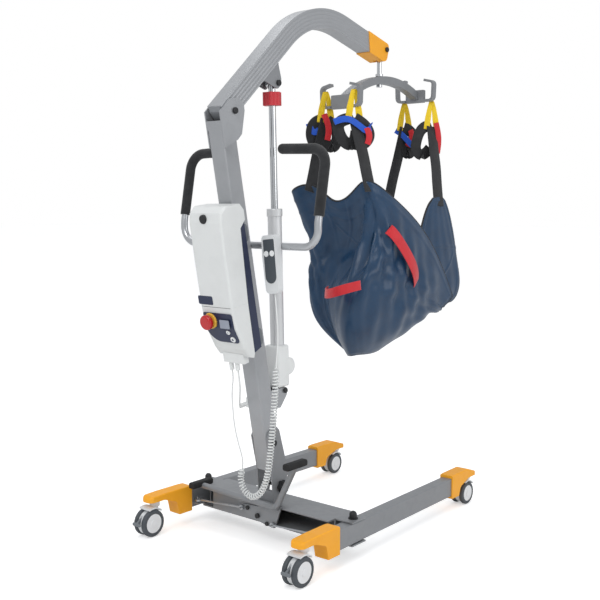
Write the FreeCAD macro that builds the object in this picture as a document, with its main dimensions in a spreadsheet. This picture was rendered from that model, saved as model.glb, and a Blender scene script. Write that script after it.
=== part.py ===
import FreeCAD, Part
import math
import os
import re
import Sketcher

# Mobile patient lift hoist, standing on four twin wheel casters.
# X runs across the hoist, +Y is the side where the boom reaches out, +Z is up, in millimetres.
# Heights are measured from the floor and Y from the middle of the wheelbase; origin_shift then
# moves every piece along Y, so that the frame's origin is the middle of the whole footprint.

V = FreeCAD.Vector
doc = FreeCAD.newDocument("PatientLift")
sheet = doc.addObject("Spreadsheet::Sheet", "Sizes")

DRIVING_SIZES = {
    # frame, clearances and common fasteners
    "origin_shift": -132.45,
    "run_gap": 0.05,
    "side_gap": 0.4,
    "bolt_radius": 6.0,
    "fold_radius": 8.0,
    # legs and cross-member
    "leg_spread": 352.0,
    "leg_toe": 1.0,
    "leg_width": 46.0,
    "leg_height": 72.0,
    "leg_base": 61.0,
    "leg_wall": 3.0,
    "leg_back": 171.5,
    "leg_front": 677.0,
    "pivot_place": -222.0,
    "kingpin_radius": 8.0,
    "cross_back": -298.0,
    "cross_front": -162.0,
    "cross_plate": 5.0,
    "cross_drop": 74.0,
    "leg_clearance": 24.0,
    "tab_half": 26.0,
    # leg caps and casters
    "cap_wall": 5.0,
    "rear_arm_base": 126.0,
    "rear_arm_top": 150.0,
    "front_arm_base": 108.0,
    "front_arm_top": 146.0,
    "rear_overhang": 103.5,
    "front_overhang": 117.0,
    "rear_wheel_radius": 50.0,
    "front_wheel_radius": 45.0,
    "tyre_width": 18.0,
    "wheel_gap": 22.0,
    "caster_trail": 28.0,
    "axle_radius": 5.0,
    "swivel_radius": 6.0,
    # pedal and tie rods
    "rocker_x": -15.0,
    "rocker_z": 91.0,
    "rocker_reach": 75.0,
    "rocker_rise": 17.0,
    "pedal_place": -322.0,
    "pedal_tube": 11.0,
    "pad_length": 108.0,
    "rod_radius": 4.0,
    "lug_back": 96.0,
    "lug_reach": 17.0,
    # mast
    "mast_lean": 11.0,
    "mast_place": -277.2,
    "mast_pivot": 363.1,
    "mast_width": 64.0,
    "mast_depth": 66.0,
    "mast_wall": 4.0,
    "mast_foot": 98.0,
    "mast_top": 1123.0,
    "cheek": 5.0,
    "lock_place": -236.0,
    "lock_height": 196.0,
    # boom
    "boom_pivot_v": 36.0,
    "boom_pivot_rise": 51.6,
    "boom_angle": 42.5,
    "boom_turn": 57.0,
    "boom_width": 62.0,
    "boom_depth": 70.0,
    "boom_wall": 4.0,
    "boom_offset": 15.0,
    "boom_tail": 36.0,
    "boom_rise": 589.5,
    "boom_bend": 365.0,
    "boom_reach": 430.0,
    "boom_cap": 3.0,
    "hanger_reach": 468.0,
    "hanger_lift": 12.0,
    # actuator
    "lower_pin_y": -208.0,
    "lower_pin_z": 544.0,
    "upper_pin_s": 243.0,
    "upper_pin_n": -70.8,
    "eye_half": 19.0,
    "actuator_tube_radius": 25.0,
    "actuator_collar": 655.0,
    "rod_outer": 12.5,
    "rod_start": 430.0,
    "spindle_radius": 6.0,
    "hand_knob": 1038.0,
    # handle
    "handle_z": 1075.0,
    "handle_half": 313.0,
    "handle_tube": 12.5,
    "foam_radius": 17.5,
    "foam_gap": 0.15,
    # control unit
    "case_x": 10.0,
    "case_half": 74.0,
    "case_wall": 3.0,
    "seam_w": 550.0,
    "case_depth": 155.0,
    "front_bend": 477.0,
    "front_foot": 396.0,
    "front_slope": 19.0,
    "stop_radius": 26.0,
    # hanger and spreader bar
    "stem_radius": 10.0,
    "stem_length": 102.0,
    "bar_half": 258.0,
    "bar_rise": 75.0,
    "bar_tilt": 7.0,
    "bar_width": 34.0,
    "bar_depth": 30.0,
    "plate_half": 45.0,
    "hook_reach": 88.0,
    "hook_height": 75.0,
    "hook_thick": 10.0,
    "hook_width": 24.0,
    # sling
    "sling_wall": 14.0,
    "strap_width": 38.0,
    "strap_thick": 4.0,
    # hand control and cords
    "handset_x": 131.0,
    "handset_z": 1113.0,
    "handset_length": 196.0,
    "handset_depth": 26.0,
    "handset_tilt": 5.9,
    "cord_radius": 2.2,
    "curl_radius": 12.0,
    "cable_radius": 3.0,
}

for row, (alias, value) in enumerate(DRIVING_SIZES.items(), 1):
    sheet.set("A%d" % row, alias)
    sheet.set("B%d" % row, repr(value))
    sheet.setAlias("B%d" % row, alias)
doc.recompute()

WORD = re.compile(r"[a-z_][a-z0-9_]*")


def link(text):
    """Turn the words of a formula that name a driving size into references to the sheet."""
    return WORD.sub(lambda m: "Sizes." + m.group(0) if m.group(0) in DRIVING_SIZES else m.group(0),
                    str(text))


def size(text):
    """Value of a formula of driving sizes."""
    return float(sheet.evalExpression(link(text)))


def at_mast(v, w):
    """Formulas of Y and Z for a place v ahead of the mast's centre line and w up along it."""
    y = "mast_place + (%s) * cos(mast_lean) - (%s) * sin(mast_lean)" % (v, w)
    z = "mast_pivot + (%s) * sin(mast_lean) + (%s) * cos(mast_lean)" % (v, w)
    return y, z


def mast_point(v, w):
    """The same place as numbers."""
    y, z = at_mast(v, w)
    return size(y), size(z)


def place(thing, x="0", y="0", z="0", axis=None, angle="0"):
    """Bind a piece's place, and its turn about one axis, to the sheet."""
    if axis is not None:
        thing.Placement = FreeCAD.Placement(V(0, 0, 0), FreeCAD.Rotation(axis, 10))
        thing.setExpression("Placement.Rotation.Angle", link(angle))
    for word, text in (("x", x), ("y", y), ("z", z)):
        thing.setExpression("Placement.Base." + word, link(text))
    return thing


def primitive(kind, name, **dims):
    """A Part primitive whose sizes are formulas of the sheet."""
    thing = doc.addObject("Part::" + kind, name)
    for prop, text in dims.items():
        thing.setExpression(prop, link(text))
    return thing


def block(name, wide, deep, tall, x="0", y="0", z="0"):
    """A box centred on x and y, standing on z."""
    thing = primitive("Box", name, Length=wide, Width=deep, Height=tall)
    return place(thing, f"({x}) - ({wide}) / 2", f"({y}) - ({deep}) / 2", z)


def across(name, radius, start, end, y, z):
    """A cylinder along X from start to end."""
    thing = primitive("Cylinder", name, Radius=radius, Height=f"({end}) - ({start})")
    return place(thing, start, y, z, V(0, 1, 0), "90")


def upright(name, radius, base, top, x="0", y="0"):
    """A cylinder along Z from base to top."""
    thing = primitive("Cylinder", name, Radius=radius, Height=f"({top}) - ({base})")
    return place(thing, x, y, base)


def backward(name, radius, length, x, y, z):
    """A cylinder along -Y that starts at y."""
    thing = primitive("Cylinder", name, Radius=radius, Height=length)
    return place(thing, x, y, z, V(1, 0, 0), "90")


def outward(name, radius, length, x, v, w, tilt="0"):
    """A cylinder that stands out from the mast's rear, from v, square to it but for a downward tilt."""
    thing = primitive("Cylinder", name, Radius=radius, Height=length)
    return place(thing, x, *at_mast(v, w), V(1, 0, 0), f"90 + mast_lean + {tilt}")


def join(name, *pieces):
    """Several pieces fused into one."""
    thing = doc.addObject("Part::MultiFuse", name)
    thing.Refine = False
    thing.Shapes = list(pieces)
    return thing


def cut(name, base, *tools):
    """Base with the tools taken away."""
    thing = doc.addObject("Part::Cut", name)
    thing.Refine = False
    thing.Base = base
    thing.Tool = tools[0] if len(tools) == 1 else join(name + "_tools", *tools)
    return thing


def soften(name, thing, radius, chosen):
    """Rounded edges; chosen picks them from the piece's own shape."""
    doc.recompute()
    fillet = doc.addObject("Part::Fillet", name)
    fillet.Base = thing
    limit = size(radius)
    fillet.Edges = [(i, limit, limit) for i, edge in enumerate(thing.Shape.Edges, 1) if chosen(edge)]
    return fillet


def circular(edge):
    """Whether an edge is a circle."""
    return edge.Curve.TypeId == "Part::GeomCircle"


def upright_edge(edge):
    """Whether an edge is a straight one along Z."""
    return not circular(edge) and abs(edge.tangentAt(edge.FirstParameter).z) > 0.99


def outline(name, points, length, rounds=None, rim=(), rim_radius="1"):
    """A body padded from a closed sketch whose corners are bound to the sheet.

    rounds gives the radius at a corner by its number, and rim lists the sides, by the number of
    the corner where each starts, whose edges on both end faces are rounded by rim_radius.
    """
    body = doc.addObject("PartDesign::Body", name)
    sketch = body.newObject("Sketcher::SketchObject", name + "_sketch")
    plane = [item for item in body.Origin.OriginFeatures if item.Role == "XY_Plane"][0]
    sketch.AttachmentSupport = [(plane, "")]
    sketch.MapMode = "FlatFace"
    corners = [V(size(a), size(b), 0) for a, b in points]
    count = len(corners)
    for i in range(count):
        sketch.addGeometry(Part.LineSegment(corners[i], corners[(i + 1) % count]), False)
    for i in range(count):
        sketch.addConstraint(Sketcher.Constraint("Coincident", i, 2, (i + 1) % count, 1))
    for i, point in enumerate(points):
        for kind, text, value in zip(("DistanceX", "DistanceY"), point, corners[i]):
            number = sketch.addConstraint(Sketcher.Constraint(kind, -1, 1, i, 1, value))
            sketch.setExpression(f"Constraints[{number}]", link(text))
    last = body.newObject("PartDesign::Pad", name + "_pad")
    last.Profile = sketch
    last.setExpression("Length", link(length))
    doc.recompute()
    deep = size(length)
    if rim:
        middles = [(corners[i] + corners[(i + 1) % count]) * 0.5 for i in rim]
        wanted = middles + [m + V(0, 0, deep) for m in middles]
        last = rounded_feature(body, last, wanted, rim_radius)
    for i, radius in (rounds or {}).items():
        last = rounded_feature(body, last, [corners[i] + V(0, 0, deep / 2)], radius)
    return body


def rounded_feature(body, base, wanted, radius):
    """Fillet feature on the edges whose middles lie at the wanted points."""
    fillet = body.newObject("PartDesign::Fillet", base.Name + "_round")
    names = [f"Edge{i}" for i, edge in enumerate(base.Shape.Edges, 1)
             if min(edge.CenterOfMass.distanceToPoint(point) for point in wanted) < 0.05]
    fillet.Base = (base, names)
    fillet.setExpression("Radius", link(radius))
    doc.recompute()
    return fillet


def side_outline(name, points, start, thick, **rounding):
    """An outline given in Y and Z, padded along X from start."""
    body = outline(name, points, thick, **rounding)
    body.Placement = FreeCAD.Placement(V(0, 0, 0), FreeCAD.Rotation(V(1, 1, 1), 120))
    body.setExpression("Placement.Base.x", link(start))
    return body


def front_outline(name, points, start, thick, **rounding):
    """An outline given in X and Z, padded along -Y from start."""
    body = outline(name, points, thick, **rounding)
    body.Placement = FreeCAD.Placement(V(0, 0, 0), FreeCAD.Rotation(V(1, 0, 0), 90))
    body.setExpression("Placement.Base.y", link(start))
    return body


def mast_outline(name, points, start, thick, **rounding):
    """An outline given in the mast's own v and w, padded along X from start."""
    return side_outline(name, [at_mast(v, w) for v, w in points], start, thick, **rounding)


def shaped(name, shape):
    """A piece whose shape comes from Part's own functions."""
    thing = doc.addObject("Part::Feature", name)
    thing.Shape = shape
    return thing


nodes = []


def node(name, *pieces, x="0", y="0", z="0", axis=None, angle="0"):
    """Group the solids of one finished sub-part, name it and stand it in the frame."""
    thing = doc.addObject("Part::Compound", name)
    thing.Links = list(pieces)
    thing.Label = name
    nodes.append(thing)
    return place(thing, x, f"({y}) + origin_shift", z, axis, angle)


def rounded_path(points, radii):
    """Straight runs through the points, joined by tangent arcs of the given radii."""
    edges = []
    last = points[0]
    for before, corner, after, radius in zip(points, points[1:], points[2:], radii):
        back = (before - corner).normalize()
        ahead = (after - corner).normalize()
        half_turn = (math.pi - back.getAngle(ahead)) / 2
        reach = radius * math.tan(half_turn)
        enter = corner + back * reach
        inside = (back + ahead).normalize() * (radius / math.cos(half_turn) - radius)
        if enter.distanceToPoint(last) > 1e-4:
            edges.append(Part.LineSegment(last, enter).toShape())
        edges.append(Part.Arc(enter, corner + inside, corner + ahead * reach).toShape())
        last = corner + ahead * reach
    edges.append(Part.LineSegment(last, points[-1]).toShape())
    return Part.Wire(edges)


def easy_radii(points):
    """Radius at each inner point of a limp route: as large as its two runs allow."""
    radii = []
    for before, corner, after in zip(points, points[1:], points[2:]):
        back = before - corner
        ahead = after - corner
        half_turn = (math.pi - back.getAngle(ahead)) / 2
        radii.append(0.45 * min(back.Length, ahead.Length) / math.tan(half_turn))
    return radii


def tube_along(path, radius, bore=0.0):
    """Round tube, or a solid rod, swept along a path."""
    first = path.Edges[0]
    start = first.valueAt(first.FirstParameter)
    along = first.tangentAt(first.FirstParameter)
    solid = path.makePipeShell([Part.Wire(Part.Circle(start, along, radius).toShape())], True, False)
    if bore > 0:
        hollow = path.makePipeShell([Part.Wire(Part.Circle(start, along, bore).toShape())], True, False)
        solid = solid.cut(hollow)
    return solid


def strip_along(path, width, thick, normal):
    """Flat bar swept along a path that lies in a plane; normal is that plane's direction."""
    first = path.Edges[0]
    start = first.valueAt(first.FirstParameter)
    along = first.tangentAt(first.FirstParameter)
    edge = along.cross(normal).normalize() * (thick / 2)
    side = V(normal).normalize() * (width / 2)
    corners = [start + side + edge, start + side - edge, start - side - edge, start - side + edge]
    return path.makePipeShell([Part.makePolygon(corners + corners[:1])], True, False)


SIDES = (("left", -1), ("right", 1))

CROSS_TOP = "leg_base + leg_height + cross_plate + 2"
LOWER_TAB = "leg_base - 2 - cross_plate"


def make_cross_member():
    """Folded sheet channel between the legs, with a tab above and below each leg."""
    half = "leg_spread - leg_width / 2 - leg_clearance"
    deep = "cross_front - cross_back"
    middle = "(cross_front + cross_back) / 2"
    base = f"{CROSS_TOP} - cross_drop"
    pieces = [
        block("cross_top", f"2 * ({half})", deep, "cross_plate", "0", middle, f"{CROSS_TOP} - cross_plate"),
        block("cross_floor", f"2 * ({half})", deep, "cross_plate", "0", middle, base),
        block("cross_front_wall", f"2 * ({half})", "cross_plate", "cross_drop",
              "0", "cross_front - cross_plate / 2", base),
        block("cross_back_wall", "2 * 150", "cross_plate", "cross_drop",
              "-100", "cross_back + cross_plate / 2", base),
    ]
    holes = []
    for side, sign in SIDES:
        inner = f"({half}) - 10"
        outer = "leg_spread + tab_half"
        wide = f"{outer} - ({inner})"
        centre = f"{sign} * ({outer} + {inner}) / 2"
        for level, z in (("upper", f"{CROSS_TOP} - cross_plate"), ("lower", LOWER_TAB)):
            pieces.append(block(f"tab_{level}_{side}", wide, "3 * tab_half", "cross_plate",
                                centre, "pivot_place", z))
        pieces.append(block(f"tab_riser_{side}", "cross_plate", "3 * tab_half",
                            f"{CROSS_TOP} - ({LOWER_TAB})", f"{sign} * ({half} - cross_plate / 2)",
                            "pivot_place", LOWER_TAB))
        holes.append(upright(f"tab_hole_{side}", "kingpin_radius", "0", "2 * leg_base + leg_height",
                             f"{sign} * leg_spread", "pivot_place"))
    holes.append(backward("rocker_hole", "bolt_radius + run_gap", "4 * cross_plate",
                          "rocker_x", "cross_back + 2 * cross_plate", "rocker_z"))
    node("cross_member", cut("cross_sheet", join("cross_walls", *pieces), *holes))


def make_pivot_bolts():
    """Kingpin with a dome nut on each leg pivot."""
    for side, sign in SIDES:
        spot = (f"{sign} * leg_spread", "pivot_place")
        dome = primitive("Sphere", "nut_dome_" + side, Radius="13")
        pieces = [
            upright("kingpin_" + side, "kingpin_radius", f"{LOWER_TAB} - 6", f"{CROSS_TOP} + 6", *spot),
            upright("kingpin_head_" + side, "13", f"{LOWER_TAB} - 8", LOWER_TAB, *spot),
            upright("pivot_washer_" + side, "17", CROSS_TOP, f"{CROSS_TOP} + 3", *spot),
            upright("nut_skirt_" + side, "13", f"{CROSS_TOP} + 3", f"{CROSS_TOP} + 14", *spot),
            place(dome, *spot, f"{CROSS_TOP} + 14"),
        ]
        yield join("pivot_bolt_" + side, *pieces)


def make_mast_bracket():
    """Two upright side plates that hold the mast's foot, on a foot block."""
    inner = "mast_width / 2 + side_gap"
    profile = [("-276", CROSS_TOP), ("-290", "280"), ("-316", "388"), ("-300", "411"), ("-262", "422"),
               ("-246", "405"), ("-212", "292"), ("-202", "228"), ("-222", "166"), ("-238", CROSS_TOP)]
    pieces = [
        block("bracket_foot", f"2 * ({inner} + cheek)", "38", "8", "0", "-257", CROSS_TOP),
        block("bracket_rest", f"2 * ({inner}) + cheek", "10", "42", "0", "-270", CROSS_TOP),
    ]
    for side, start in (("left", f"-({inner}) - cheek"), ("right", inner)):
        pieces.append(side_outline("bracket_plate_" + side, profile, start, "cheek",
                                   rounds={2: "9", 3: "9", 4: "9", 5: "9"}))
    fold = across("bracket_fold_hole", "fold_radius", "-60", "60", "mast_place", "mast_pivot")
    lock = across("bracket_lock_hole", "bolt_radius + run_gap", "-60", "60", "lock_place", "lock_height")
    node("mast_bracket", cut("bracket_body", join("bracket_plates", *pieces), fold, lock))


def cross_bolt(name, radius, grip, y, z, head):
    """Bolt along X with a round head and a nut outside the plates that it grips."""
    rounded = soften(name + "_head", across(name + "_cap", head, grip, f"{grip} + 8", y, z), "3", circular)
    nut = across(name + "_nut", head, f"-({grip}) - 7", f"-({grip})", y, z)
    return join(name, across(name + "_shank", radius, f"-({grip}) - 2", f"{grip} + 2", y, z), rounded, nut)


def make_base_fasteners():
    """Leg pivot bolts, and the bolt on which the mast folds."""
    node("base_bolts", *make_pivot_bolts(),
         cross_bolt("mast_fold_bolt", "fold_radius", "mast_width / 2 + side_gap + cheek",
                    "mast_place", "mast_pivot", "12"))


def make_lock_knob():
    """Cross bolt that locks the mast's foot, with a lobed hand knob on the right."""
    face = "mast_width / 2 + side_gap + cheek + 1"
    pieces = [
        across("lock_shaft", "bolt_radius", f"-({face}) - 5", f"{face} + 2", "lock_place", "lock_height"),
        across("lock_clip", "10", f"-({face}) - 5", f"-({face})", "lock_place", "lock_height"),
        across("lock_core", "19", face, f"{face} + 19", "lock_place", "lock_height"),
    ]
    for turn in range(6):
        pieces.append(across(f"lock_lobe_{turn}", "7", face, f"{face} + 19",
                             f"lock_place + 16 * cos({60 * turn})", f"lock_height + 16 * sin({60 * turn})"))
    node("lock_knob", join("lock_knob_body", *pieces))


def make_leg(side, sign):
    """Rectangular leg tube with its kingpin bore and the lug for its tie rod."""
    length = "leg_back + leg_front"
    middle = "(leg_front - leg_back) / 2"
    outer = soften("leg_outer_" + side, block("leg_bar_" + side, "leg_width", length, "leg_height",
                                              "0", middle, "leg_base"), "5",
                   lambda e: not circular(e) and abs(e.tangentAt(e.FirstParameter).y) > 0.99)
    hollow = block("leg_hollow_" + side, "leg_width - 2 * leg_wall", f"{length} + 2",
                   "leg_height - 2 * leg_wall", "0", middle, "leg_base + leg_wall")
    bore = upright("leg_bore_" + side, "kingpin_radius + run_gap", "0", "2 * leg_base + leg_height")
    lug_x = f"{-sign} * (leg_width / 2 + lug_reach)"
    lug = block("leg_lug_" + side, "lug_reach + 9", "16", "6", f"{-sign} * (leg_width + lug_reach + 7) / 2",
                "-lug_back", "leg_base + 15")
    post = upright("leg_post_" + side, "rod_radius", "leg_base + 18", "leg_base + 42", lug_x, "-lug_back")
    shell = cut("leg_shell_" + side, outer, hollow, bore)
    node("leg_tube_" + side, join("leg_" + side, shell, lug, post),
         x=f"{sign} * leg_spread", y="pivot_place", axis=V(0, 0, 1), angle=f"{sign} * leg_toe")


def swivel_place(end):
    """Formula of a caster's swivel axis along its leg, from the kingpin."""
    return "leg_front + front_overhang" if end == "front" else "-leg_back - rear_overhang"


def make_cap(end, side, sign):
    """Moulded sleeve over a leg's end, with an arm that carries the caster's swivel.

    Built on the leg's own line with the kingpin at Y = 0; out is +1 on the front cap.
    """
    out = 1 if end == "front" else -1
    swivel = swivel_place(end)
    tube_end = "leg_front" if out > 0 else "-leg_back"
    arm = f"{end}_arm_base"
    top = f"{end}_arm_top"
    mouth = f"{tube_end} - {out} * {40 if out > 0 else 58}"
    heel = f"{tube_end} + {out} * {15 if out > 0 else 5}"
    tip = f"{swivel} + {out} * {28 if out > 0 else 42}"
    half = "leg_width / 2 + cap_wall"
    droop = 20 if out > 0 else 2
    points = [(mouth, "leg_base - 9"), (mouth, f"{top} - 2"), (f"{mouth} + {out} * 20", top),
              (f"{swivel} - {out} * 30", top), (tip, f"{top} - {droop}"), (tip, arm),
              (f"{swivel} - {out} * 26", arm), (f"{heel} + {out} * 12", f"{arm} - 22"),
              (heel, "leg_base - 9")]
    body = side_outline(f"cap_form_{end}_{side}", points, f"-({half})", f"2 * ({half})",
                        rounds={6: "12", 7: "20"}, rim=(1, 2, 3), rim_radius="5")
    far = size(tip)
    form = body if out > 0 else soften(f"cap_round_{end}_{side}", body, "20",
                                       lambda e: upright_edge(e) and abs(e.CenterOfMass.y - far) < 1)
    socket = block(f"cap_socket_{end}_{side}", "leg_width + 0.2", f"{out} * ({tube_end} - ({mouth})) + 1.2",
                   "leg_height + 0.2", "0", f"({tube_end} + {mouth}) / 2 - {out} * 0.5", "leg_base - 0.1")
    bore = upright(f"cap_bore_{end}_{side}", "swivel_radius + run_gap", f"{arm} - 1", f"{arm} + 14", "0",
                   swivel)
    node(f"{end}_cap_{side}", cut(f"cap_{end}_{side}", form, socket, bore),
         x=f"{sign} * leg_spread", y="pivot_place", axis=V(0, 0, 1), angle=f"{sign} * leg_toe")


def make_caster(end, side, sign):
    """Hood with its swivel stem, and a pair of wheels on one axle, about the swivel axis."""
    tag = f"_{end}_{side}"
    radius = f"{end}_wheel_radius"
    saddle = f"{end}_arm_base - side_gap"
    over = f"{radius} + 4"
    rear = "-caster_trail"
    half = "wheel_gap / 2 - 2"
    outer = "wheel_gap / 2 + tyre_width"
    arch = across("arch" + tag, f"{over} + 5", f"-({outer})", outer, rear, radius)
    room = across("arch_room" + tag, over, f"-({outer}) - 1", f"{outer} + 1", rear, radius)
    window = block("arch_window" + tag, f"2 * ({outer}) + 4", "58", f"{radius} + 9", "0", f"{rear} + 9",
                   f"{radius} + 22")
    crown = doc.addObject("Part::Common", "crown" + tag)
    crown.Base = cut("arch_shell" + tag, arch, room)
    crown.Tool = window
    stem_base = f"2 * {radius} + 6"
    hood = join("hood_solid" + tag, crown,
                across("web" + tag, f"{radius} - 5", f"-({half})", half, rear, radius),
                block("web_top" + tag, f"2 * ({half})", "44", f"{radius} + 6", "0", f"{rear} + 16", radius),
                upright("neck" + tag, "19", stem_base, saddle),
                upright("stem" + tag, "swivel_radius", f"{saddle} - 2", f"{end}_arm_base + 12"))
    holes = [across("axle_hole" + tag, "axle_radius + run_gap", "-60", "60", rear, radius)]
    pieces = []
    for turn in (-1, 1):
        start = "wheel_gap / 2" if turn > 0 else f"-({outer})"
        tyre = soften(f"tyre_round{tag}_{turn + 1}", across(f"tyre_disc{tag}_{turn + 1}", radius, start,
                      f"{start} + tyre_width", rear, radius), "6", circular)
        rim = across(f"tyre_rim{tag}_{turn + 1}", f"{radius} - 11", "-60", "60", rear, radius)
        pieces.append(cut(f"tyre{tag}_{turn + 1}", tyre, rim))
    disc = f"{radius} - 11"
    core = [across("axle" + tag, "axle_radius", f"-({half}) - 5", f"{half} + 5", rear, radius)]
    for turn in (-1, 1):
        start = "wheel_gap / 2 + 0.5" if turn > 0 else f"-({outer}) + 1"
        core.append(across(f"hub_disc{tag}_{turn + 1}", disc, start, f"{start} + tyre_width - 1.5", rear,
                           radius))
        knob = "wheel_gap / 2" if turn > 0 else f"-({outer}) - 1"
        core.append(across(f"hub_boss{tag}_{turn + 1}", "13", knob, f"{knob} + tyre_width + 1", rear, radius))
    pieces.append(join("hub" + tag, *core))
    swivel = swivel_place(end)
    spot = {"x": f"{sign} * (leg_spread - ({swivel}) * sin(leg_toe))",
            "y": f"pivot_place + ({swivel}) * cos(leg_toe)"}
    if end == "rear":
        holes.append(block("brake_slot" + tag, "9", "30", "38", "0", f"{rear} - 45", f"{radius} - 5"))
        holes.append(across("brake_hole" + tag, "2.55", "-60", "60", f"{rear} - 36", f"{radius} + 16"))
        make_brake(tag, radius, rear, half, spot)
    node("caster_hood" + tag, cut("hood" + tag, hood, *holes), **spot)
    node("caster_wheels" + tag, *pieces, **spot)


def make_brake(tag, radius, rear, half, spot):
    """Foot pedal hinged in the hood, with its tongue between the wheels."""
    heel = f"{rear} - 32"
    tongue = side_outline("tongue" + tag, [
        (heel, f"{radius} + 11"), (heel, f"{radius} + 21"), (f"{rear} - 42", f"{radius} + 22"),
        (f"{rear} - {radius} - 12", f"{radius} + 8"), (f"{rear} - {radius} - 12", f"{radius} + 1"),
        (f"{rear} - 45", f"{radius} + 9")], "-4", "8")
    paddle = block("paddle" + tag, "40", "9.5", "12", "0", f"{rear} - {radius} - 9.25", f"{radius} - 1")
    paddle = soften("paddle_round" + tag, paddle, "4", lambda e: True)
    pin = across("brake_pin" + tag, "2.5", f"-({half})", half, f"{rear} - 36", f"{radius} + 16")
    node("brake_pedal" + tag, join("brake" + tag, tongue, paddle, pin), **spot)


def rocker_pins():
    """Side, and the offset of that tie rod's pin from the rocker's centre."""
    return (("left", -1, "-rocker_reach", "rocker_rise"), ("right", 1, "rocker_reach", "-rocker_rise"))


def make_pedal():
    """V shaped foot lever on a rocker plate that turns on the cross-member's back wall."""
    route = [V(-290, 0, 156), V(88, 0, 146), V(176, 0, 312)]
    path = rounded_path(route, [34.0])
    path.translate(V(size("-rocker_x"), size("pedal_place"), size("-rocker_z")))
    lever = shaped("lever_tube", tube_along(path, size("pedal_tube")))
    face = "cross_back - 1"
    rim = [("-rocker_reach - 12", "rocker_rise - 6"), ("-rocker_reach - 4", "rocker_rise + 12"),
           ("0", "34"), ("40", "58"), ("112", "60"), ("104", "34"),
           ("rocker_reach + 12", "4 - rocker_rise"), ("rocker_reach + 4", "-rocker_rise - 14"),
           ("40", "-rocker_rise - 10"), ("-30", "-14")]
    plate = front_outline("rocker_plate", rim, face, "6", rounds={0: "6", 1: "6", 7: "6"})
    bridge = block("lever_bridge", "70", f"({face}) - (pedal_place)", "12", "70",
                   f"(({face}) + (pedal_place)) / 2", "44")
    pieces = [lever, plate, bridge]
    for side, sign, dx, dz in rocker_pins():
        pieces.append(backward("rod_pin_" + side, "3", "22", dx, f"({face}) - 3", dz))
    pads = []
    for side, x, z in (("left", "-290 - rocker_x", "156 - rocker_z"),
                       ("right", "176 - rocker_x", "312 - rocker_z")):
        pads.append(soften("pad_" + side, block("pad_block_" + side, "30", "pad_length", "24",
                                                x, "pedal_place", f"{z} - 6"), "8", lambda e: True))
    bolts = []
    for number, (dx, dz) in enumerate((("-49", "20"), ("45", "-20"))):
        head = backward(f"rocker_head_{number}", "8", "7", dx, f"({face}) - 6", dz)
        bolts.append(soften(f"rocker_bolt_{number}", head, "3", circular))
    pivot = backward("rocker_pivot", "bolt_radius", "22", "0", "cross_back + cross_plate + 3", "0")
    head = backward("rocker_pivot_head", "9", "8", "0", f"({face}) - 6", "0")
    bolts.append(join("rocker_pivot_bolt", pivot, head))
    body = cut("lever_body", join("lever_solid", *pieces), *pads,
               backward("lever_pivot_hole", "bolt_radius", "30", "0", "cross_back + 10", "0"))
    spot = {"x": "rocker_x", "z": "rocker_z"}
    node("pedal_lever", body, **spot)
    node("pedal_pads", *pads, **spot)
    node("rocker_bolts", *bolts, **spot)


def make_tie_rods():
    """Rods from the rocker's pins to the posts on the legs, each with a wide far eye."""
    for side, sign, dx, dz in rocker_pins():
        y = size("cross_back - 14.5")
        pin = V(size(f"rocker_x + {dx}"), y, size(f"rocker_z + {dz}"))
        toe = math.radians(sign * size("leg_toe"))
        reach = -sign * size("leg_width / 2 + lug_reach")
        back = -size("lug_back")
        eye = V(sign * size("leg_spread") + reach * math.cos(toe) - back * math.sin(toe), y - 1.5,
                size("leg_base + 30"))
        ahead = (eye - pin).normalize()
        near = Part.makeCylinder(9, 6, pin + V(0, 3, 0), V(0, -1, 0))
        far = Part.makeCylinder(15, 6, eye - V(0, 0, 3))
        bar = Part.makeCylinder(size("rod_radius"), (eye - pin).Length - 18, pin + ahead * 6, ahead)
        rod = bar.multiFuse([near, far])
        rod = rod.cut(Part.makeCylinder(3.05, 20, pin + V(0, 10, 0), V(0, -1, 0)))
        rod = rod.cut(Part.makeCylinder(11, 30, eye - V(0, 0, 15)))
        node("tie_rod_" + side, shaped("tie_rod_shape_" + side, rod))


def boom_at(run, rise):
    """Formulas of Y and Z for a place along the boom's lower run from its pivot, and above it."""
    y0, z0 = at_mast("boom_pivot_v", "mast_top + boom_pivot_rise")
    return (f"{y0} + ({run}) * cos(boom_angle) - ({rise}) * sin(boom_angle)",
            f"{z0} + ({run}) * sin(boom_angle) + ({rise}) * cos(boom_angle)")


def boom_end_at(run, rise):
    """The same along the upper run, from the bend, and above its centre line."""
    y0, z0 = boom_at("boom_rise", "boom_offset")
    return (f"{y0} + ({run}) * cos(boom_angle - boom_turn) - ({rise}) * sin(boom_angle - boom_turn)",
            f"{z0} + ({run}) * sin(boom_angle - boom_turn) + ({rise}) * cos(boom_angle - boom_turn)")


PIVOT = at_mast("boom_pivot_v", "mast_top + boom_pivot_rise")
UPPER_PIN = boom_at("upper_pin_s", "upper_pin_n")


def make_actuator_bracket():
    """Pair of cheeks welded to the mast's front face for the actuator's lower bolt."""
    front = "mast_depth / 2 - 2"
    rim = [at_mast(front, "118"), at_mast(front, "186"), ("lower_pin_y - 4", "lower_pin_z + 11"),
           ("lower_pin_y + 9", "lower_pin_z + 11"), ("lower_pin_y + 16", "lower_pin_z"),
           ("lower_pin_y + 11", "lower_pin_z - 19"), ("lower_pin_y - 23", "lower_pin_z - 60")]
    pieces = [side_outline("bracket_cheek_" + name, rim, start, "5", rounds={3: "7", 4: "8", 5: "10"})
              for name, start in (("left", "-31"), ("right", "26"))]
    hole = across("bracket_pin_hole", "bolt_radius", "-60", "60", "lower_pin_y", "lower_pin_z")
    return cut("actuator_bracket", join("actuator_cheeks", *pieces), hole)


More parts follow.
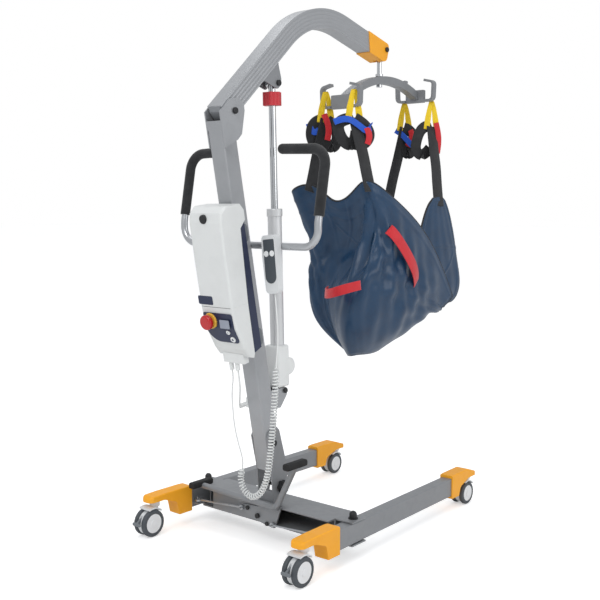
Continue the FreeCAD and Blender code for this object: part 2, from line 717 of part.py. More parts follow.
def make_mast_bolts():
    """Boom pivot bolt and the actuator's lower bolt."""
    node("mast_bolts",
         cross_bolt("boom_pivot_bolt", "bolt_radius", "mast_width / 2 + cheek", *PIVOT, "11"),
         cross_bolt("actuator_bolt", "bolt_radius", "31", "lower_pin_y", "lower_pin_z", "10"))


def make_mast():
    """Rectangular mast tube with the cheeks and back web that carry the boom's pivot."""
    half = "mast_width / 2"
    deep = "mast_depth / 2"
    tube = mast_outline("mast_bar", [(f"-{deep}", "-mast_foot"), (deep, "-mast_foot"), (deep, "mast_top"),
                                     (f"-{deep}", "mast_top")], f"-{half}", "mast_width", rim=(1, 3),
                        rim_radius="5")
    wall = "mast_wall"
    rear, fore = f"{wall} - {deep}", f"{deep} - {wall}"
    hollow = mast_outline("mast_hollow", [(rear, "-mast_foot - 5"), (fore, "-mast_foot - 5"),
                                          (fore, "mast_top + 5"), (rear, "mast_top + 5")],
                          f"{wall} - {half}", f"2 * ({half} - {wall})")
    rim = [(f"-{deep}", "mast_top - 62"), (deep, "mast_top - 44"), ("56", "mast_top - 28"),
           ("84", "mast_top + 46"), ("84", "mast_top + 72"), ("60", "mast_top + 93"),
           ("18", "mast_top + 93"), (f"-{deep}", "mast_top + 58")]
    pieces = [mast_outline("cheek_left", rim, f"-{half} - cheek", "cheek",
                           rounds={3: "20", 4: "14", 5: "20", 6: "30"}),
              mast_outline("cheek_right", rim, half, "cheek", rounds={3: "20", 4: "14", 5: "20", 6: "30"}),
              mast_outline("head_web", [(f"-{deep}", "mast_top - 2"), (f"4 - {deep}", "mast_top - 2"),
                                        (f"4 - {deep}", "mast_top + 28"), (f"-{deep}", "mast_top + 28")],
                           f"-{half}", "mast_width"),
              cut("mast_profile", tube, hollow)]
    holes = [across("mast_pivot_hole", "bolt_radius", "-60", "60", *PIVOT),
             across("mast_fold_hole", "fold_radius + run_gap", "-60", "60", "mast_place", "mast_pivot")]
    body = cut("mast_body", join("mast_pieces", *pieces), *holes)
    node("mast_tube", join("mast_weldment", body, make_actuator_bracket()))


def handle_points(sign):
    """Points of one half of the push handle, from the mast outwards."""
    y = mast_point("mast_depth / 2",
                   "(handle_z - mast_pivot) / cos(mast_lean) - 6")[0] + size("handle_tube") + 0.4
    z = size("handle_z")
    reach = size("handle_half")
    return [V(0, y, z), V(sign * reach, y, z), V(sign * reach, y, z + 78),
            V(sign * reach, y + 44, z + 320), V(sign * 122, y + 47, z + 326)]


def make_handle():
    """Bent tube across the mast's front, and the foam grips on its two horns."""
    tubes = []
    grips = []
    for side, sign in SIDES:
        points = handle_points(sign)
        tubes.append(tube_along(rounded_path(points, [60.0, 100.0, 58.0]), size("handle_tube")))
        start = points[2] + (points[3] - points[2]) * 0.1
        path = rounded_path([start, points[3], points[4]], [58.0])
        grip = tube_along(path, size("foam_radius"), size("handle_tube + foam_gap"))
        tip = Part.makeSphere(size("foam_radius"), points[4])
        beyond = Part.makeCylinder(60, 60, points[4], points[4] - points[3])
        grips.append(grip.fuse(tip.common(beyond)))
    node("push_handle", shaped("handle_tube_shape", tubes[0].fuse(tubes[1])))
    node("handle_grips", shaped("grip_shapes", Part.makeCompound(grips)))


def control_slab(name, points, inset="0", **rounding):
    """An outline in the mast's v and w as wide as the control unit, less an inset on each side."""
    half = f"case_half - ({inset})"
    return mast_outline(name, points, f"case_x - ({half})", f"2 * ({half})", **rounding)


def upper_front(w):
    """Formula of v on the control case's front, between the seam and its bend."""
    return f"5 * (seam_w - 1 - ({w})) / (seam_w - 1 - front_bend) - case_depth"


def lower_front(w):
    """The same below the bend, where the front recedes."""
    return f"5 + (front_bend - ({w})) * tan(front_slope) - case_depth"


def from_slope(name, radius, length, x, w, out):
    """A cylinder square to the receding front, that starts a little way out of it."""
    return outward(name, radius, length, x, f"{lower_front(w)} - ({out}) * cos(front_slope)",
                   f"{w} - ({out}) * sin(front_slope)", "front_slope")


def make_control():
    """Back plate, lower control case, removable battery case and what they hold."""
    front = "mast_depth / 2 + 0.3"
    wall = "case_wall"
    node("control_backplate", control_slab("backplate", [(f"-({front})", "379"), (f"-({front})", "822"),
                                                         ("-61", "800"), ("-76", "367")], "8"))
    form = [("-77", "seam_w - 1"), ("-case_depth", "seam_w - 1"), ("5 - case_depth", "front_bend"),
            (lower_front("front_foot"), "front_foot"), ("51 - case_depth", "364"), ("-84", "356"),
            ("-78", "370")]
    room = [("-82", "seam_w - 5"), ("4 - case_depth", "seam_w - 5"), ("9 - case_depth", "front_bend + 1"),
            (f"{lower_front('front_foot')} + 4", "front_foot + 4"), ("-100", "370"), ("-85", "362")]
    case = cut("control_shell", control_slab("control_form", form, rim=(1, 2, 3), rim_radius="9"),
               control_slab("control_room", room, wall))
    node("control_case", case)
    form = [("-77", "seam_w - 0.7"), ("-63", "800"), ("-36", "824"), ("-36", "857"), ("-52", "880"),
            ("-121", "884"),
            ("-145", "866"), ("-152", "834"), ("-case_depth", "703"), ("-case_depth", "seam_w - 0.7")]
    room = [("-82", "seam_w + 5"), ("-68", "808"), ("-60", "876"), ("-118", "879"), ("-141", "862"),
            ("-148", "832"),
            ("4 - case_depth", "702"), ("4 - case_depth", "seam_w + 5")]
    shell = cut("battery_shell", control_slab("battery_form", form, rim=(5, 6, 7, 8), rim_radius="9"),
                control_slab("battery_room", room, wall),
                outward("button_well", "15.4", "70", "case_x - 4", "-96", "847"))
    node("battery_case", shell)
    cell = [("-86", "seam_w + 6"), ("-82", "seam_w + 170"), ("-146", "seam_w + 170"), ("-146", "seam_w + 6")]
    node("battery_pack", *[mast_outline(f"cell_{i}", cell, f"case_x - 64 + {i} * 65", "62")
                           for i in range(2)])
    board = mast_outline("board_sheet", [("-92", "seam_w - 6"), ("-94", "seam_w - 6"), ("-94", "400"),
                                         ("-92", "400")],
                         "case_x - case_half + 3", "2 * case_half - 6")
    relay = mast_outline("board_relays", [("-93.5", "seam_w - 30"), ("-114", "seam_w - 30"),
                                          ("-114", "seam_w - 74"), ("-93.5", "seam_w - 74")], "-30", "70")
    node("control_board", join("board_body", board, relay))
    post = outward("button_post", "6", "30", "case_x - 4", "-117", "847")
    cap = soften("button_cap", outward("button_disc", "15", "12", "case_x - 4", "-143.5", "847"), "3",
                 circular)
    node("battery_button", join("battery_button_body", post, cap))


def make_panel():
    """Control panel that follows the lower case's front, its stop button and two push buttons."""
    top, base = "seam_w - 19", "seam_w - 132"
    line = [(upper_front(top), top), ("5 - case_depth", "front_bend"), (lower_front(base), base)]
    shape = [(f"{v} - 0.2", w) for v, w in line] + [(f"{v} - 3.2", w) for v, w in reversed(line)]
    low = at_mast(lower_front(base), base)[1]
    high = at_mast(upper_front(top), top)[1]
    left, right = "case_x - 66", "case_x + 66"
    rim = [(left, f"{low} + 2"), (right, f"{low} + 2"), (right, f"{high} - 2"), (left, f"{high} - 2")]
    plate = doc.addObject("Part::Common", "panel_plate")
    plate.Base = mast_outline("panel_sheet", shape, left, f"{right} - ({left})")
    plate.Tool = front_outline("panel_rim", rim, at_mast("-case_depth / 2", base)[0], "case_depth",
                               rounds={0: "48", 1: "15", 2: "8", 3: "8"})
    x, w = "case_x - 34", "seam_w - 50"
    face = f"{upper_front(w)} - 0.2"
    middle = size(at_mast(f"{face} - 6", w)[0])
    collar = soften("collar_round", outward("stop_collar", "stop_radius + 1", "5", x, f"{face} - 3.5", w), "2",
                    lambda e: circular(e) and e.CenterOfMass.y < middle)
    wells = [outward("stop_well", "8.3", "40", x, f"{face} + 10", w)]
    for name, place_x, drop, radius in (("upper", "case_x + 34", "86", "8"),
                                        ("lower", "case_x + 43", "113", "10.5")):
        w_button = f"seam_w - {drop}"
        wells.append(from_slope(f"well_{name}", f"{radius} + 0.3", "40", place_x, w_button, "-10"))
        button = from_slope(f"button_{name}", radius, "5", place_x, w_button, "1.9")
        node(f"panel_button_{name}", soften(f"button_round_{name}", button, "1.2", circular))
    node("control_panel", cut("panel_body", join("panel_parts", plate, collar), *wells))
    head = outward("stop_head", "stop_radius", "19", x, f"{face} - 15", w)
    head = soften("stop_round", head, "7", circular)
    stem = outward("stop_stem", "8", "15", x, f"{face} - 4.5", w)
    node("stop_button", join("stop_body", head, stem))


def boom_outline(name, inset, start, end, half):
    """Outline of the bent boom tube between two ends, with its walls moved in by an inset."""
    deep = f"(boom_depth / 2 - {inset})"
    corner = f"{deep} * tan(boom_turn / 2)"
    points = [boom_at(f"-boom_tail - {start}", f"boom_offset - {deep}"),
              boom_at(f"boom_rise - {corner}", f"boom_offset - {deep}"),
              boom_end_at(f"boom_reach + {end}", f"-{deep}"), boom_end_at(f"boom_reach + {end}", deep),
              boom_at(f"boom_rise + {corner}", f"boom_offset + {deep}"),
              boom_at(f"-boom_tail - {start}", f"boom_offset + {deep}")]
    return side_outline(name, points, f"-({half})", f"2 * ({half})",
                        rounds={1: f"boom_bend - {deep}", 4: f"boom_bend + {deep}"})


def make_boom():
    """Bent rectangular boom tube, its end caps, the actuator's bracket and their bolts."""
    outer = boom_outline("boom_form", "0", "0", "0", "boom_width / 2")
    hollow = boom_outline("boom_room", "boom_wall", "5", "5", "boom_width / 2 - boom_wall")
    bore = across("boom_bore", "bolt_radius + run_gap", "-60", "60", *PIVOT)
    node("boom_tube", cut("boom_body", outer, hollow, bore))

    deep = "(boom_depth / 2 + boom_cap)"
    half = "boom_width / 2 + boom_cap"
    tip = "hanger_reach + 15"
    cap = side_outline("end_cap_form", [boom_end_at("boom_reach - 62", f"-{deep}"),
                                        boom_end_at(tip, f"-{deep}"),
                                        boom_end_at(tip, deep), boom_end_at("boom_reach - 90", deep)],
                       f"-({half})", f"2 * ({half})", rounds={1: "24", 2: "16"})
    socket = side_outline("end_cap_socket", [
        boom_end_at("boom_reach - 100", "-boom_depth / 2 - 0.1"),
        boom_end_at("boom_reach + 0.2", "-boom_depth / 2 - 0.1"),
        boom_end_at("boom_reach + 0.2", "boom_depth / 2 + 0.1"),
        boom_end_at("boom_reach - 100", "boom_depth / 2 + 0.1")],
        "-boom_width / 2 - 0.1", "boom_width + 0.2")
    slot = side_outline("end_cap_slot", [
        boom_end_at("hanger_reach - 20", "-60"), boom_end_at("hanger_reach + 40", "-60"),
        boom_end_at("hanger_reach + 40", "hanger_lift + 17"),
        boom_end_at("hanger_reach - 20", "hanger_lift + 17")],
        "-stem_radius - side_gap", "2 * (stem_radius + side_gap)")
    hanger = boom_end_at("hanger_reach", "hanger_lift")
    tail = "boom_depth / 2 - boom_wall - 0.3"
    plug = side_outline("tail_plug", [
        boom_at("20 - boom_tail", f"boom_offset - ({tail})"),
        boom_at("20 - boom_tail", f"boom_offset + ({tail})"),
        boom_at("-boom_tail", f"boom_offset + ({tail})"), boom_at("-boom_tail - 7", "boom_offset + 16"),
        boom_at("-boom_tail - 7", "boom_offset - 16"), boom_at("-boom_tail", f"boom_offset - ({tail})")],
        "boom_wall + 0.3 - boom_width / 2", "boom_width - 2 * (boom_wall + 0.3)")
    plug = cut("tail_plug_body", plug, across("tail_plug_bore", "bolt_radius + 6", "-60", "60", *PIVOT))
    bolt_hole = across("cap_bolt_hole", "bolt_radius", "-60", "60", *hanger)
    node("boom_end_caps", cut("end_cap_body", cap, socket, slot, bolt_hole), plug)

    base = "boom_offset - boom_depth / 2 - 0.2"
    rim = [boom_at("190", base), boom_at("290", base), boom_at("upper_pin_s + 23", "upper_pin_n"),
           boom_at("upper_pin_s + 7", "upper_pin_n - 15"), boom_at("upper_pin_s - 16", "upper_pin_n - 14"),
           boom_at("upper_pin_s - 27", "upper_pin_n + 4")]
    cheeks = [side_outline(f"boom_cheek_{side}", rim, start, "4", rounds={2: "12", 3: "9", 4: "9"})
              for side, start in (("left", "-30"), ("right", "26"))]
    saddle = side_outline("boom_saddle", [boom_at("190", base), boom_at("290", base),
                                          boom_at("290", f"{base} - 4"), boom_at("190", f"{base} - 4")],
                                          "-30", "60")
    hole = across("boom_bracket_hole", "bolt_radius", "-60", "60", *UPPER_PIN)
    node("boom_bracket", cut("boom_bracket_body", join("boom_bracket_parts", saddle, *cheeks), hole))
    stubs = []
    for side, sign in SIDES:
        inner, outer = ("-36", "-20") if sign < 0 else ("20", "36")
        shank = across("upper_pin_" + side, "bolt_radius", inner, outer, *UPPER_PIN)
        head = ("-37", "-30") if sign < 0 else ("30", "37")
        stubs.append(join("upper_stub_" + side, shank, across("upper_head_" + side, "10", *head, *UPPER_PIN)))
    node("boom_bolts", cross_bolt("hanger_bolt", "bolt_radius", half, *hanger, "10"), *stubs)


ACTUATOR_LEAN = f"atan((lower_pin_y - ({UPPER_PIN[0]})) / ({UPPER_PIN[1]} - lower_pin_z))"
ACTUATOR_LENGTH = f"({UPPER_PIN[1]} - lower_pin_z) / cos({ACTUATOR_LEAN})"
ACTUATOR_SPOT = {"y": "lower_pin_y", "z": "lower_pin_z", "axis": V(1, 0, 0), "angle": ACTUATOR_LEAN}


def make_actuator():
    """Electric linear actuator, built on its own axis with the lower pin at the origin."""
    tube_base = "165"
    neck = "actuator_collar - 28"
    tube = cut("guide_tube", upright("guide_outer", "actuator_tube_radius", tube_base, neck),
               upright("guide_bore", "actuator_tube_radius - 3", f"{tube_base} - 1", f"{neck} + 1"))
    collar = soften("collar_soft", upright("collar_outer", "actuator_tube_radius + 3", neck,
                                           "actuator_collar"),
                    "3", circular)
    collar = cut("guide_collar", collar, upright("collar_bore", "rod_outer + run_gap", f"{neck} - 1",
                                                 "actuator_collar + 1"))
    node("actuator_tube", join("guide_body", tube, collar), **ACTUATOR_SPOT)

    case = soften("motor_block_soft", block("motor_block", "68", "64", "152", "0", "-4", "13"), "9",
                  lambda e: True)
    dome = soften("motor_dome_soft", across("motor_dome", "32", "-34", "34", "28", "85"), "6", circular)
    shell = cut("motor_shell", join("motor_outer", case, dome),
                block("motor_room", "62", "58", "146", "0", "-4", "16"),
                across("motor_dome_room", "29", "-31", "31", "28", "85"),
                upright("spindle_hole", "spindle_radius + 0.6", "150", "180"))
    eye = cut("lower_eye", join("lower_eye_solid", across("lower_eye_ring", "13", "-eye_half", "eye_half",
                                                          "0", "0"),
                                block("lower_eye_neck", "2 * eye_half", "26", "15", "0", "0", "0")),
              across("lower_eye_bore", "bolt_radius + run_gap", "-60", "60", "0", "0"))
    node("motor_case", join("motor_body", shell, eye), **ACTUATOR_SPOT)

    motor = across("motor_can", "28.5", "-29", "29", "28", "85")
    gear = block("motor_gear", "56", "34", "54", "0", "-14", "58")
    node("actuator_drive", join("drive_body", motor, gear, upright("spindle", "spindle_radius", "60", "640")),
         **ACTUATOR_SPOT)

    rod = cut("rod_shell", upright("rod_bar", "rod_outer", "rod_start", f"{ACTUATOR_LENGTH} - 8"),
              upright("rod_bore", "spindle_radius + 1.5", "rod_start - 1", "900"))
    eye = cut("upper_eye", join("upper_eye_solid", across("upper_eye_ring", "14", "-eye_half", "eye_half",
                                                          "0",
                                                          ACTUATOR_LENGTH),
                                upright("upper_eye_neck", "14", f"{ACTUATOR_LENGTH} - 17", ACTUATOR_LENGTH)),
              across("upper_eye_bore", "bolt_radius + run_gap", "-60", "60", "0", ACTUATOR_LENGTH))
    node("actuator_rod", join("rod_body", rod, eye), **ACTUATOR_SPOT)

    lobes = [upright(f"knob_lobe_{turn}", "9", "hand_knob - 23", "hand_knob + 23",
                     f"25 * cos({60 * turn})", f"25 * sin({60 * turn})") for turn in range(6)]
    core = upright("knob_core", "29", "hand_knob - 23", "hand_knob + 23")
    node("rod_knob", cut("rod_knob_body", join("rod_knob_solid", core, *lobes),
                         upright("rod_knob_bore", "rod_outer + run_gap", "hand_knob - 40", "hand_knob + 40")),
         **ACTUATOR_SPOT)


HANGER = boom_end_at("hanger_reach", "hanger_lift")
HANGER_SPOT = {"y": HANGER[0], "z": HANGER[1]}


def bar_end(sign):
    """Y and Z of the spreader bar's end, from the hanger's pivot."""
    tilt = math.radians(size("bar_tilt"))
    y = sign * size("bar_half")
    z = -size("bar_rise")
    top = -size("stem_length + bar_depth / 2 + side_gap")
    return y * math.cos(tilt) - z * math.sin(tilt), top + y * math.sin(tilt) + z * math.cos(tilt)


def make_hanger():
    """Swivel stem, arched spreader bar with its cross plates, and four strap hooks."""
    bar_top = "-stem_length - side_gap"
    eye = across("stem_eye", "14", "-stem_radius", "stem_radius", "0", "0")
    below = f"{bar_top} - bar_depth - 3"
    parts = [eye, upright("stem_bar", "stem_radius - 0.6", "-stem_length", "0"),
             upright("stem_collar", "15", "-stem_length", "9 - stem_length"),
             upright("stem_pin", "7", f"{below} - 9", "-stem_length"),
             upright("stem_nut", "12", f"{below} - 9", below)]
    node("hanger_stem", cut("stem_body", join("stem_solid", *parts),
                            across("stem_bore", "bolt_radius + run_gap", "-60", "60", "0", "0")),
                            **HANGER_SPOT)

    middle = -size("stem_length + bar_depth / 2 + side_gap")
    half = size("bar_half")
    rise = size("bar_rise")
    arc = Part.Arc(V(0, -half, middle - rise), V(0, 0, middle), V(0, half, middle - rise)).toShape()
    bar = strip_along(Part.Wire([arc]), size("bar_width"), size("bar_depth"), V(1, 0, 0))
    bar.rotate(V(0, 0, middle), V(1, 0, 0), size("bar_tilt"))
    pieces = [bar]
    hooks = []
    for sign in (-1, 1):
        y, z = bar_end(sign)
        plate = Part.makeBox(size("2 * plate_half"), 14, 53, V(-size("plate_half"), y - 7 + sign * 4, z - 26))
        pieces.append(plate.makeFillet(5, [e for e in plate.Edges if abs(e.tangentAt(0).y) > 0.9]))
        for side in (-1, 1):
            low = z - 18
            reach = size("hook_reach")
            up = low + size("hook_height")
            route = [V(side * size("plate_half"), y + sign * 4, low), V(side * reach, y + sign * 4, low),
                     V(side * (reach + 3), y + sign * 4, up), V(side * (reach - 41), y + sign * 4, up + 10)]
            path = rounded_path(route, [17.0, 15.0])
            hooks.append(strip_along(path, size("hook_width"), size("hook_thick"), V(0, 1, 0)))
    body = pieces[0].multiFuse(pieces[1:])
    body = body.cut(Part.makeCylinder(7 + size("run_gap"), 60, V(0, 0, middle - 30)))
    body = body.cut(Part.makeCylinder(17, 20, V(0, 0, -size("stem_length + side_gap"))))
    node("spreader_bar", shaped("spreader_shape", body), **HANGER_SPOT)
    node("spreader_hooks", shaped("hook_shapes", Part.makeCompound(hooks)), **HANGER_SPOT)


def oval_loft(levels, shrink, lift):
    """Closed loft through level ovals of (Z, centre Y, half width, half length)."""
    wires = []
    for z, y, wide, deep in levels:
        oval = Part.Ellipse(V(0, y + deep - shrink, z), V(wide - shrink, y, z), V(0, y, z))
        wires.append(Part.Wire(oval.toShape()))
    wires[0].translate(V(0, 0, lift))
    return Part.makeLoft(wires, True, False)


def make_sling():
    """Hollow seat of the sling, open at the top, hung by four straps under the hooks."""
    levels = [(-1228.0, 18.0, 62.0, 95.0), (-930.0, 26.0, 150.0, 320.0), (-600.0, 48.0, 185.0, 395.0)]
    wall = size("sling_wall")
    top = levels[-1][0]
    trough = oval_loft(levels, 0.0, 0.0).cut(oval_loft(levels, wall, wall))
    pieces = [trough]
    for sign in (-1, 1):
        y, z = bar_end(sign)
        for side in (-1, 1):
            rim_y = levels[-1][1] + (-330.0 if sign < 0 else 190.0)
            share = 1 - ((rim_y - levels[-1][1]) / (levels[-1][3] - wall / 2)) ** 2
            rim = V(side * (levels[-1][2] - wall / 2) * math.sqrt(share), rim_y, top - 20)
            hook = V(side * 68, y + sign * 4, z - 18 - size("hook_thick") / 2 - 0.3)
            wide = V(0, size("strap_width") / 2, 0)
            thick = V(size("strap_thick") / 2, 0, 0)
            corners = [rim + wide + thick, rim + wide - thick, rim - wide - thick, rim - wide + thick]
            face = Part.Face(Part.makePolygon(corners + corners[:1]))
            pieces.append(face.extrude(hook - rim))
    node("sling", shaped("sling_shape", pieces[0].multiFuse(pieces[1:])), **HANGER_SPOT)


HANDLE_Y = at_mast("mast_depth / 2",
                   "(handle_z - mast_pivot) / cos(mast_lean) - 6")[0] + " + handle_tube + 0.4"
HANDSET_Y = f"{HANDLE_Y} - handle_tube - 2.5 - handset_depth / 2"


def make_handset():
    """Hand control with two buttons, hooked over the push handle's cross tube."""
    form = [("-30", "0"), ("-33", "-70"), ("-27", "-handset_length"), ("27", "-handset_length"),
            ("33", "-70"), ("30", "0")]
    body = front_outline("handset_form", form, "handset_depth / 2", "handset_depth",
                         rounds={0: "14", 5: "14", 2: "16", 3: "16"})
    wells = []
    for name, across_x in (("up", "-12.5"), ("down", "12.5")):
        wells.append(backward("handset_well_" + name, "10.3", "10", across_x, "5 - handset_depth / 2", "-62"))
        button = soften("handset_press_" + name, backward("handset_key_" + name, "10", "5", across_x,
                        "2.5 - handset_depth / 2", "-62"), "1.2", circular)
        node("handset_button_" + name, button, x="handset_x", y=HANDSET_Y, z="handset_z", axis=V(0, 1, 0),
             angle="-handset_tilt")
    tilted = doc.addObject("Part::Compound", "handset_tilted")
    tilted.Links = [cut("handset_body", body, *wells)]
    place(tilted, "handset_x", HANDSET_Y, "handset_z", V(0, 1, 0), "-handset_tilt")
    ring = across("handset_ring", "handle_tube + 3.6", "handset_x - 6", "handset_x + 18", HANDLE_Y,
                  "handle_z")
    inside = across("handset_ring_room", "handle_tube + 0.5", "handset_x - 10", "handset_x + 22", HANDLE_Y,
                    "handle_z")
    below = block("handset_ring_gate", "40", "40", "60", "handset_x + 6", f"{HANDLE_Y} + 20", "handle_z - 62")
    hook = cut("handset_hook", ring, inside, below)
    node("handset_case", join("handset_solid", tilted, hook))


def cord(name, points, radius):
    """Limp tube through chosen points; its volume must match its section times its length."""
    radii = easy_radii(points)
    path = rounded_path(points, radii)
    solid = tube_along(path, radius)
    ideal = math.pi * radius ** 2 * path.Length
    print(name, "length", round(path.Length, 1), "volume ratio", round(solid.Volume / ideal, 4),
          "radii", [round(r) for r in radii])
    return shaped(name, solid)


def make_cords():
    """Hand control's cord, thin at both ends and curly between, and the actuator's cable."""
    bottom_y = size(HANDSET_Y)
    tilt = math.radians(size("handset_tilt"))
    tail = V(size("handset_x") + size("handset_length") * math.sin(tilt), bottom_y,
             size("handset_z") - size("handset_length") * math.cos(tilt))
    tail_points = [tail, V(156, -398, 880), V(164, -402, 838), V(171, -406, 794), V(174, -409, 748),
                   V(171, -411, 706), V(168, -412, 672)]
    curl_points = [tail_points[-1], V(167, -413, 606), V(160, -413, 532), V(152, -412, 452),
                   V(141, -411, 372),
                   V(129, -410, 296), V(103, -410, 228), V(58, -411, 196), V(16, -412, 216), V(0, -413, 262),
                   V(14, -414, 300)]
    plug_y, plug_z = mast_point("-98", "308")
    lead_points = [curl_points[-1], V(14, -415, 334), V(2, -417, 370), V(-10, -419, 408), V(-19, -421, 450),
                   V(-22, -423, 494), V(-25, -425, 540), V(-22, -427, 582), V(-16, plug_y + 6, 616),
                   V(-16, plug_y, plug_z)]
    node("handset_cord", cord("cord_tail", tail_points, size("cord_radius")),
         cord("cord_lead", lead_points, size("cord_radius")))
    node("handset_curl", cord("cord_curl", curl_points, size("curl_radius")))
    side_face = -size("mast_width") / 2
    cable_end = V(side_face - 22.5, -352.3, 499.2)
    cable_points = [V(12, plug_y, plug_z), V(11, plug_y + 7, 612), V(4, -414, 580), V(-8, -403, 550),
                    V(-22, -390, 524), V(-40, -369, 505), cable_end]
    node("actuator_cable", cord("motor_cable", cable_points, size("cable_radius")))

    strip = mast_outline("connector_strip", [("-86", "338"), ("-110", "338"), ("-110", "373"),
                                             ("-104", "363"),
                                             ("-86", "355.6")], "case_x - 48", "96")
    plugs = []
    for name, x in (("left", "-16"), ("right", "12")):
        plug = primitive("Cylinder", "cord_plug_" + name, Radius="8", Height="30")
        plugs.append(place(plug, x, *at_mast("-98", "308"), V(1, 0, 0), "mast_lean"))
    socket = Part.makeBox(12, 30, 36, V(side_face - 12.2, -333, 492))
    ahead = V(27, 28, 13).normalize()
    elbow_end = V(side_face - 28, -346, 497) - ahead * 5
    elbow = Part.makeCylinder(8, 45, elbow_end, ahead).cut(socket)
    elbow = [s for s in elbow.Solids if s.isInside(elbow_end + ahead * 2, 0.01, True)][0]
    node("cable_plugs", strip, *plugs, shaped("mast_socket", socket), shaped("elbow_plug", elbow))


def make_clamps():
    """Oval clamps between the control unit's back plate and the mast's right side."""
    back = "-mast_depth / 2"
    pieces = []
    for number, w in enumerate(("402", "770")):
        rim = [(back, f"{w} - 14"), ("-10", f"{w} - 30"), ("8", f"{w} - 30"), ("14", f"{w} - 18"),
               ("14", f"{w} + 18"), ("8", f"{w} + 30"), ("-10", f"{w} + 30"), (back, f"{w} + 14")]
        pieces.append(mast_outline(f"clamp_{number}", rim, "mast_width / 2 + 0.2", "10",
                                   rounds={1: "10", 2: "8", 5: "8", 6: "10"}))
    node("control_clamps", *pieces)


make_cross_member()
make_mast_bracket()
make_base_fasteners()
make_lock_knob()
for side, sign in SIDES:
    make_leg(side, sign)
    for end in ("rear", "front"):
        make_cap(end, side, sign)
        make_caster(end, side, sign)
make_pedal()
make_tie_rods()
make_mast()
make_mast_bolts()
make_handle()
make_control()
make_panel()
make_clamps()
make_boom()
make_actuator()
make_hanger()
make_sling()
make_handset()
make_cords()

doc.recompute()
for item in doc.Objects:
    if "Invalid" in item.State or "Error" in item.State:
        raise RuntimeError(f"{item.Name} failed: {item.State} {item.getStatusString()}")
for thing in nodes:
    if thing.Shape.isNull() or not thing.Shape.isValid() or not thing.Shape.Solids:
        raise RuntimeError(f"{thing.Label} has no valid solid")

os.makedirs("parts", exist_ok=True)
for thing in nodes:
    thing.Shape.exportStep(f"parts/{thing.Label}.step")

whole = FreeCAD.BoundBox()
for thing in nodes:
    whole.add(thing.Shape.BoundBox)
print(f"{len(nodes)} nodes, X {whole.XMin:.1f} to {whole.XMax:.1f}, Y {whole.YMin:.1f} to {whole.YMax:.1f}, "
      f"Z {whole.ZMin:.1f} to {whole.ZMax:.1f}")
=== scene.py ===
"""Looks of a mobile patient lift hoist, built around its packed construction model."""

import logging
import math
from dataclasses import dataclass, field
from enum import Enum
from typing import Sequence

import bpy
import numpy as np
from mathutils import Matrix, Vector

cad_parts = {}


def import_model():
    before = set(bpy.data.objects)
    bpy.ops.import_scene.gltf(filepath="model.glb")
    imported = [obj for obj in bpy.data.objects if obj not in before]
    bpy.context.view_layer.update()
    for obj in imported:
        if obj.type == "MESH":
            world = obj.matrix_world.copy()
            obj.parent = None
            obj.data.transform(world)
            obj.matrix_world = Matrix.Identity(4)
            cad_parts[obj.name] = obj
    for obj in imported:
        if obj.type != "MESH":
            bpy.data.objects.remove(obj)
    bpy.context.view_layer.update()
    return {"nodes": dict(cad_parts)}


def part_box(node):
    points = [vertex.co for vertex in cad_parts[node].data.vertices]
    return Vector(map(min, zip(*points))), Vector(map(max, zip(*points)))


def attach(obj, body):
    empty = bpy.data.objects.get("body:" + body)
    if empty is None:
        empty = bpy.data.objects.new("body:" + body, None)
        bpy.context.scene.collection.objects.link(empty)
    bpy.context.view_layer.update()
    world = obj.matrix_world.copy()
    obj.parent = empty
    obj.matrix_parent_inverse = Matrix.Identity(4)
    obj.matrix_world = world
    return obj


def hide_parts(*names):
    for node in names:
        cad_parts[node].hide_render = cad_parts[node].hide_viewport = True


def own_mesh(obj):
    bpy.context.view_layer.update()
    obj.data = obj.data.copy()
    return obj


LOG = logging.getLogger("hoist")
MM = 0.001
ORIGIN_SHIFT = -0.13245
MAST_LEAN = math.radians(11.0)
# Where the mast's centre line starts, in Y and Z.
MAST_FOOT = (-277.2, 363.1)
Point = Sequence[float]


def place(x: float, y: float, z: float) -> np.ndarray:
    """Point of the frame, in metres, from millimetres counted from the middle of the wheelbase."""
    return np.array([x * MM, y * MM + ORIGIN_SHIFT, z * MM])


def on_mast(x: float, v: float, w: float) -> np.ndarray:
    """Point of the frame given on the leaning mast.

    Args:
        x: distance from the middle plane, in millimetres.
        v: distance square to the mast's centre line, towards the front.
        w: distance along the centre line.

    Returns:
        The place in metres.
    """
    sine, cosine = math.sin(MAST_LEAN), math.cos(MAST_LEAN)
    return place(x, v * cosine - w * sine + MAST_FOOT[0], v * sine + w * cosine + MAST_FOOT[1])


def places(points: Sequence[Point]) -> np.ndarray:
    """The same for a list of points."""
    return np.array([place(*point) for point in points])


def linear(code: str) -> tuple[float, float, float, float]:
    """Linear colour with alpha from an sRGB hex value."""
    parts = [int(code[i:i + 2], 16) / 255 for i in (0, 2, 4)]
    rgb = [c / 12.92 if c <= 0.04045 else ((c + 0.055) / 1.055) ** 2.4 for c in parts]
    return (*rgb, 1.0)


# ---------------------------------------------------------------- materials


def add(tree: bpy.types.NodeTree, kind: str, inputs: dict | None = None,
        **settings: object) -> bpy.types.Node:
    """Add one shader node.

    Args:
        tree: the material's node tree.
        kind: the node's type name.
        inputs: values for its sockets, or sockets of other nodes to link to them.
        settings: the node's own properties.

    Returns:
        The new node.
    """
    node = tree.nodes.new(kind)
    for name, value in settings.items():
        setattr(node, name, value)
    for name, value in (inputs or {}).items():
        if isinstance(value, bpy.types.NodeSocket):
            tree.links.new(value, node.inputs[name])
        else:
            node.inputs[name].default_value = value
    return node


class Grain(Enum):
    """How a surface's relief was made."""

    MOULDED = "fine spark eroded mould texture"
    PEEL = "orange peel of a powder coat"
    DRAWN = "fine lines along a drawn or extruded tube"
    FOAM = "open cells of a foam sleeve"
    WOVEN = "plain weave"
    PLAIN = "polished"


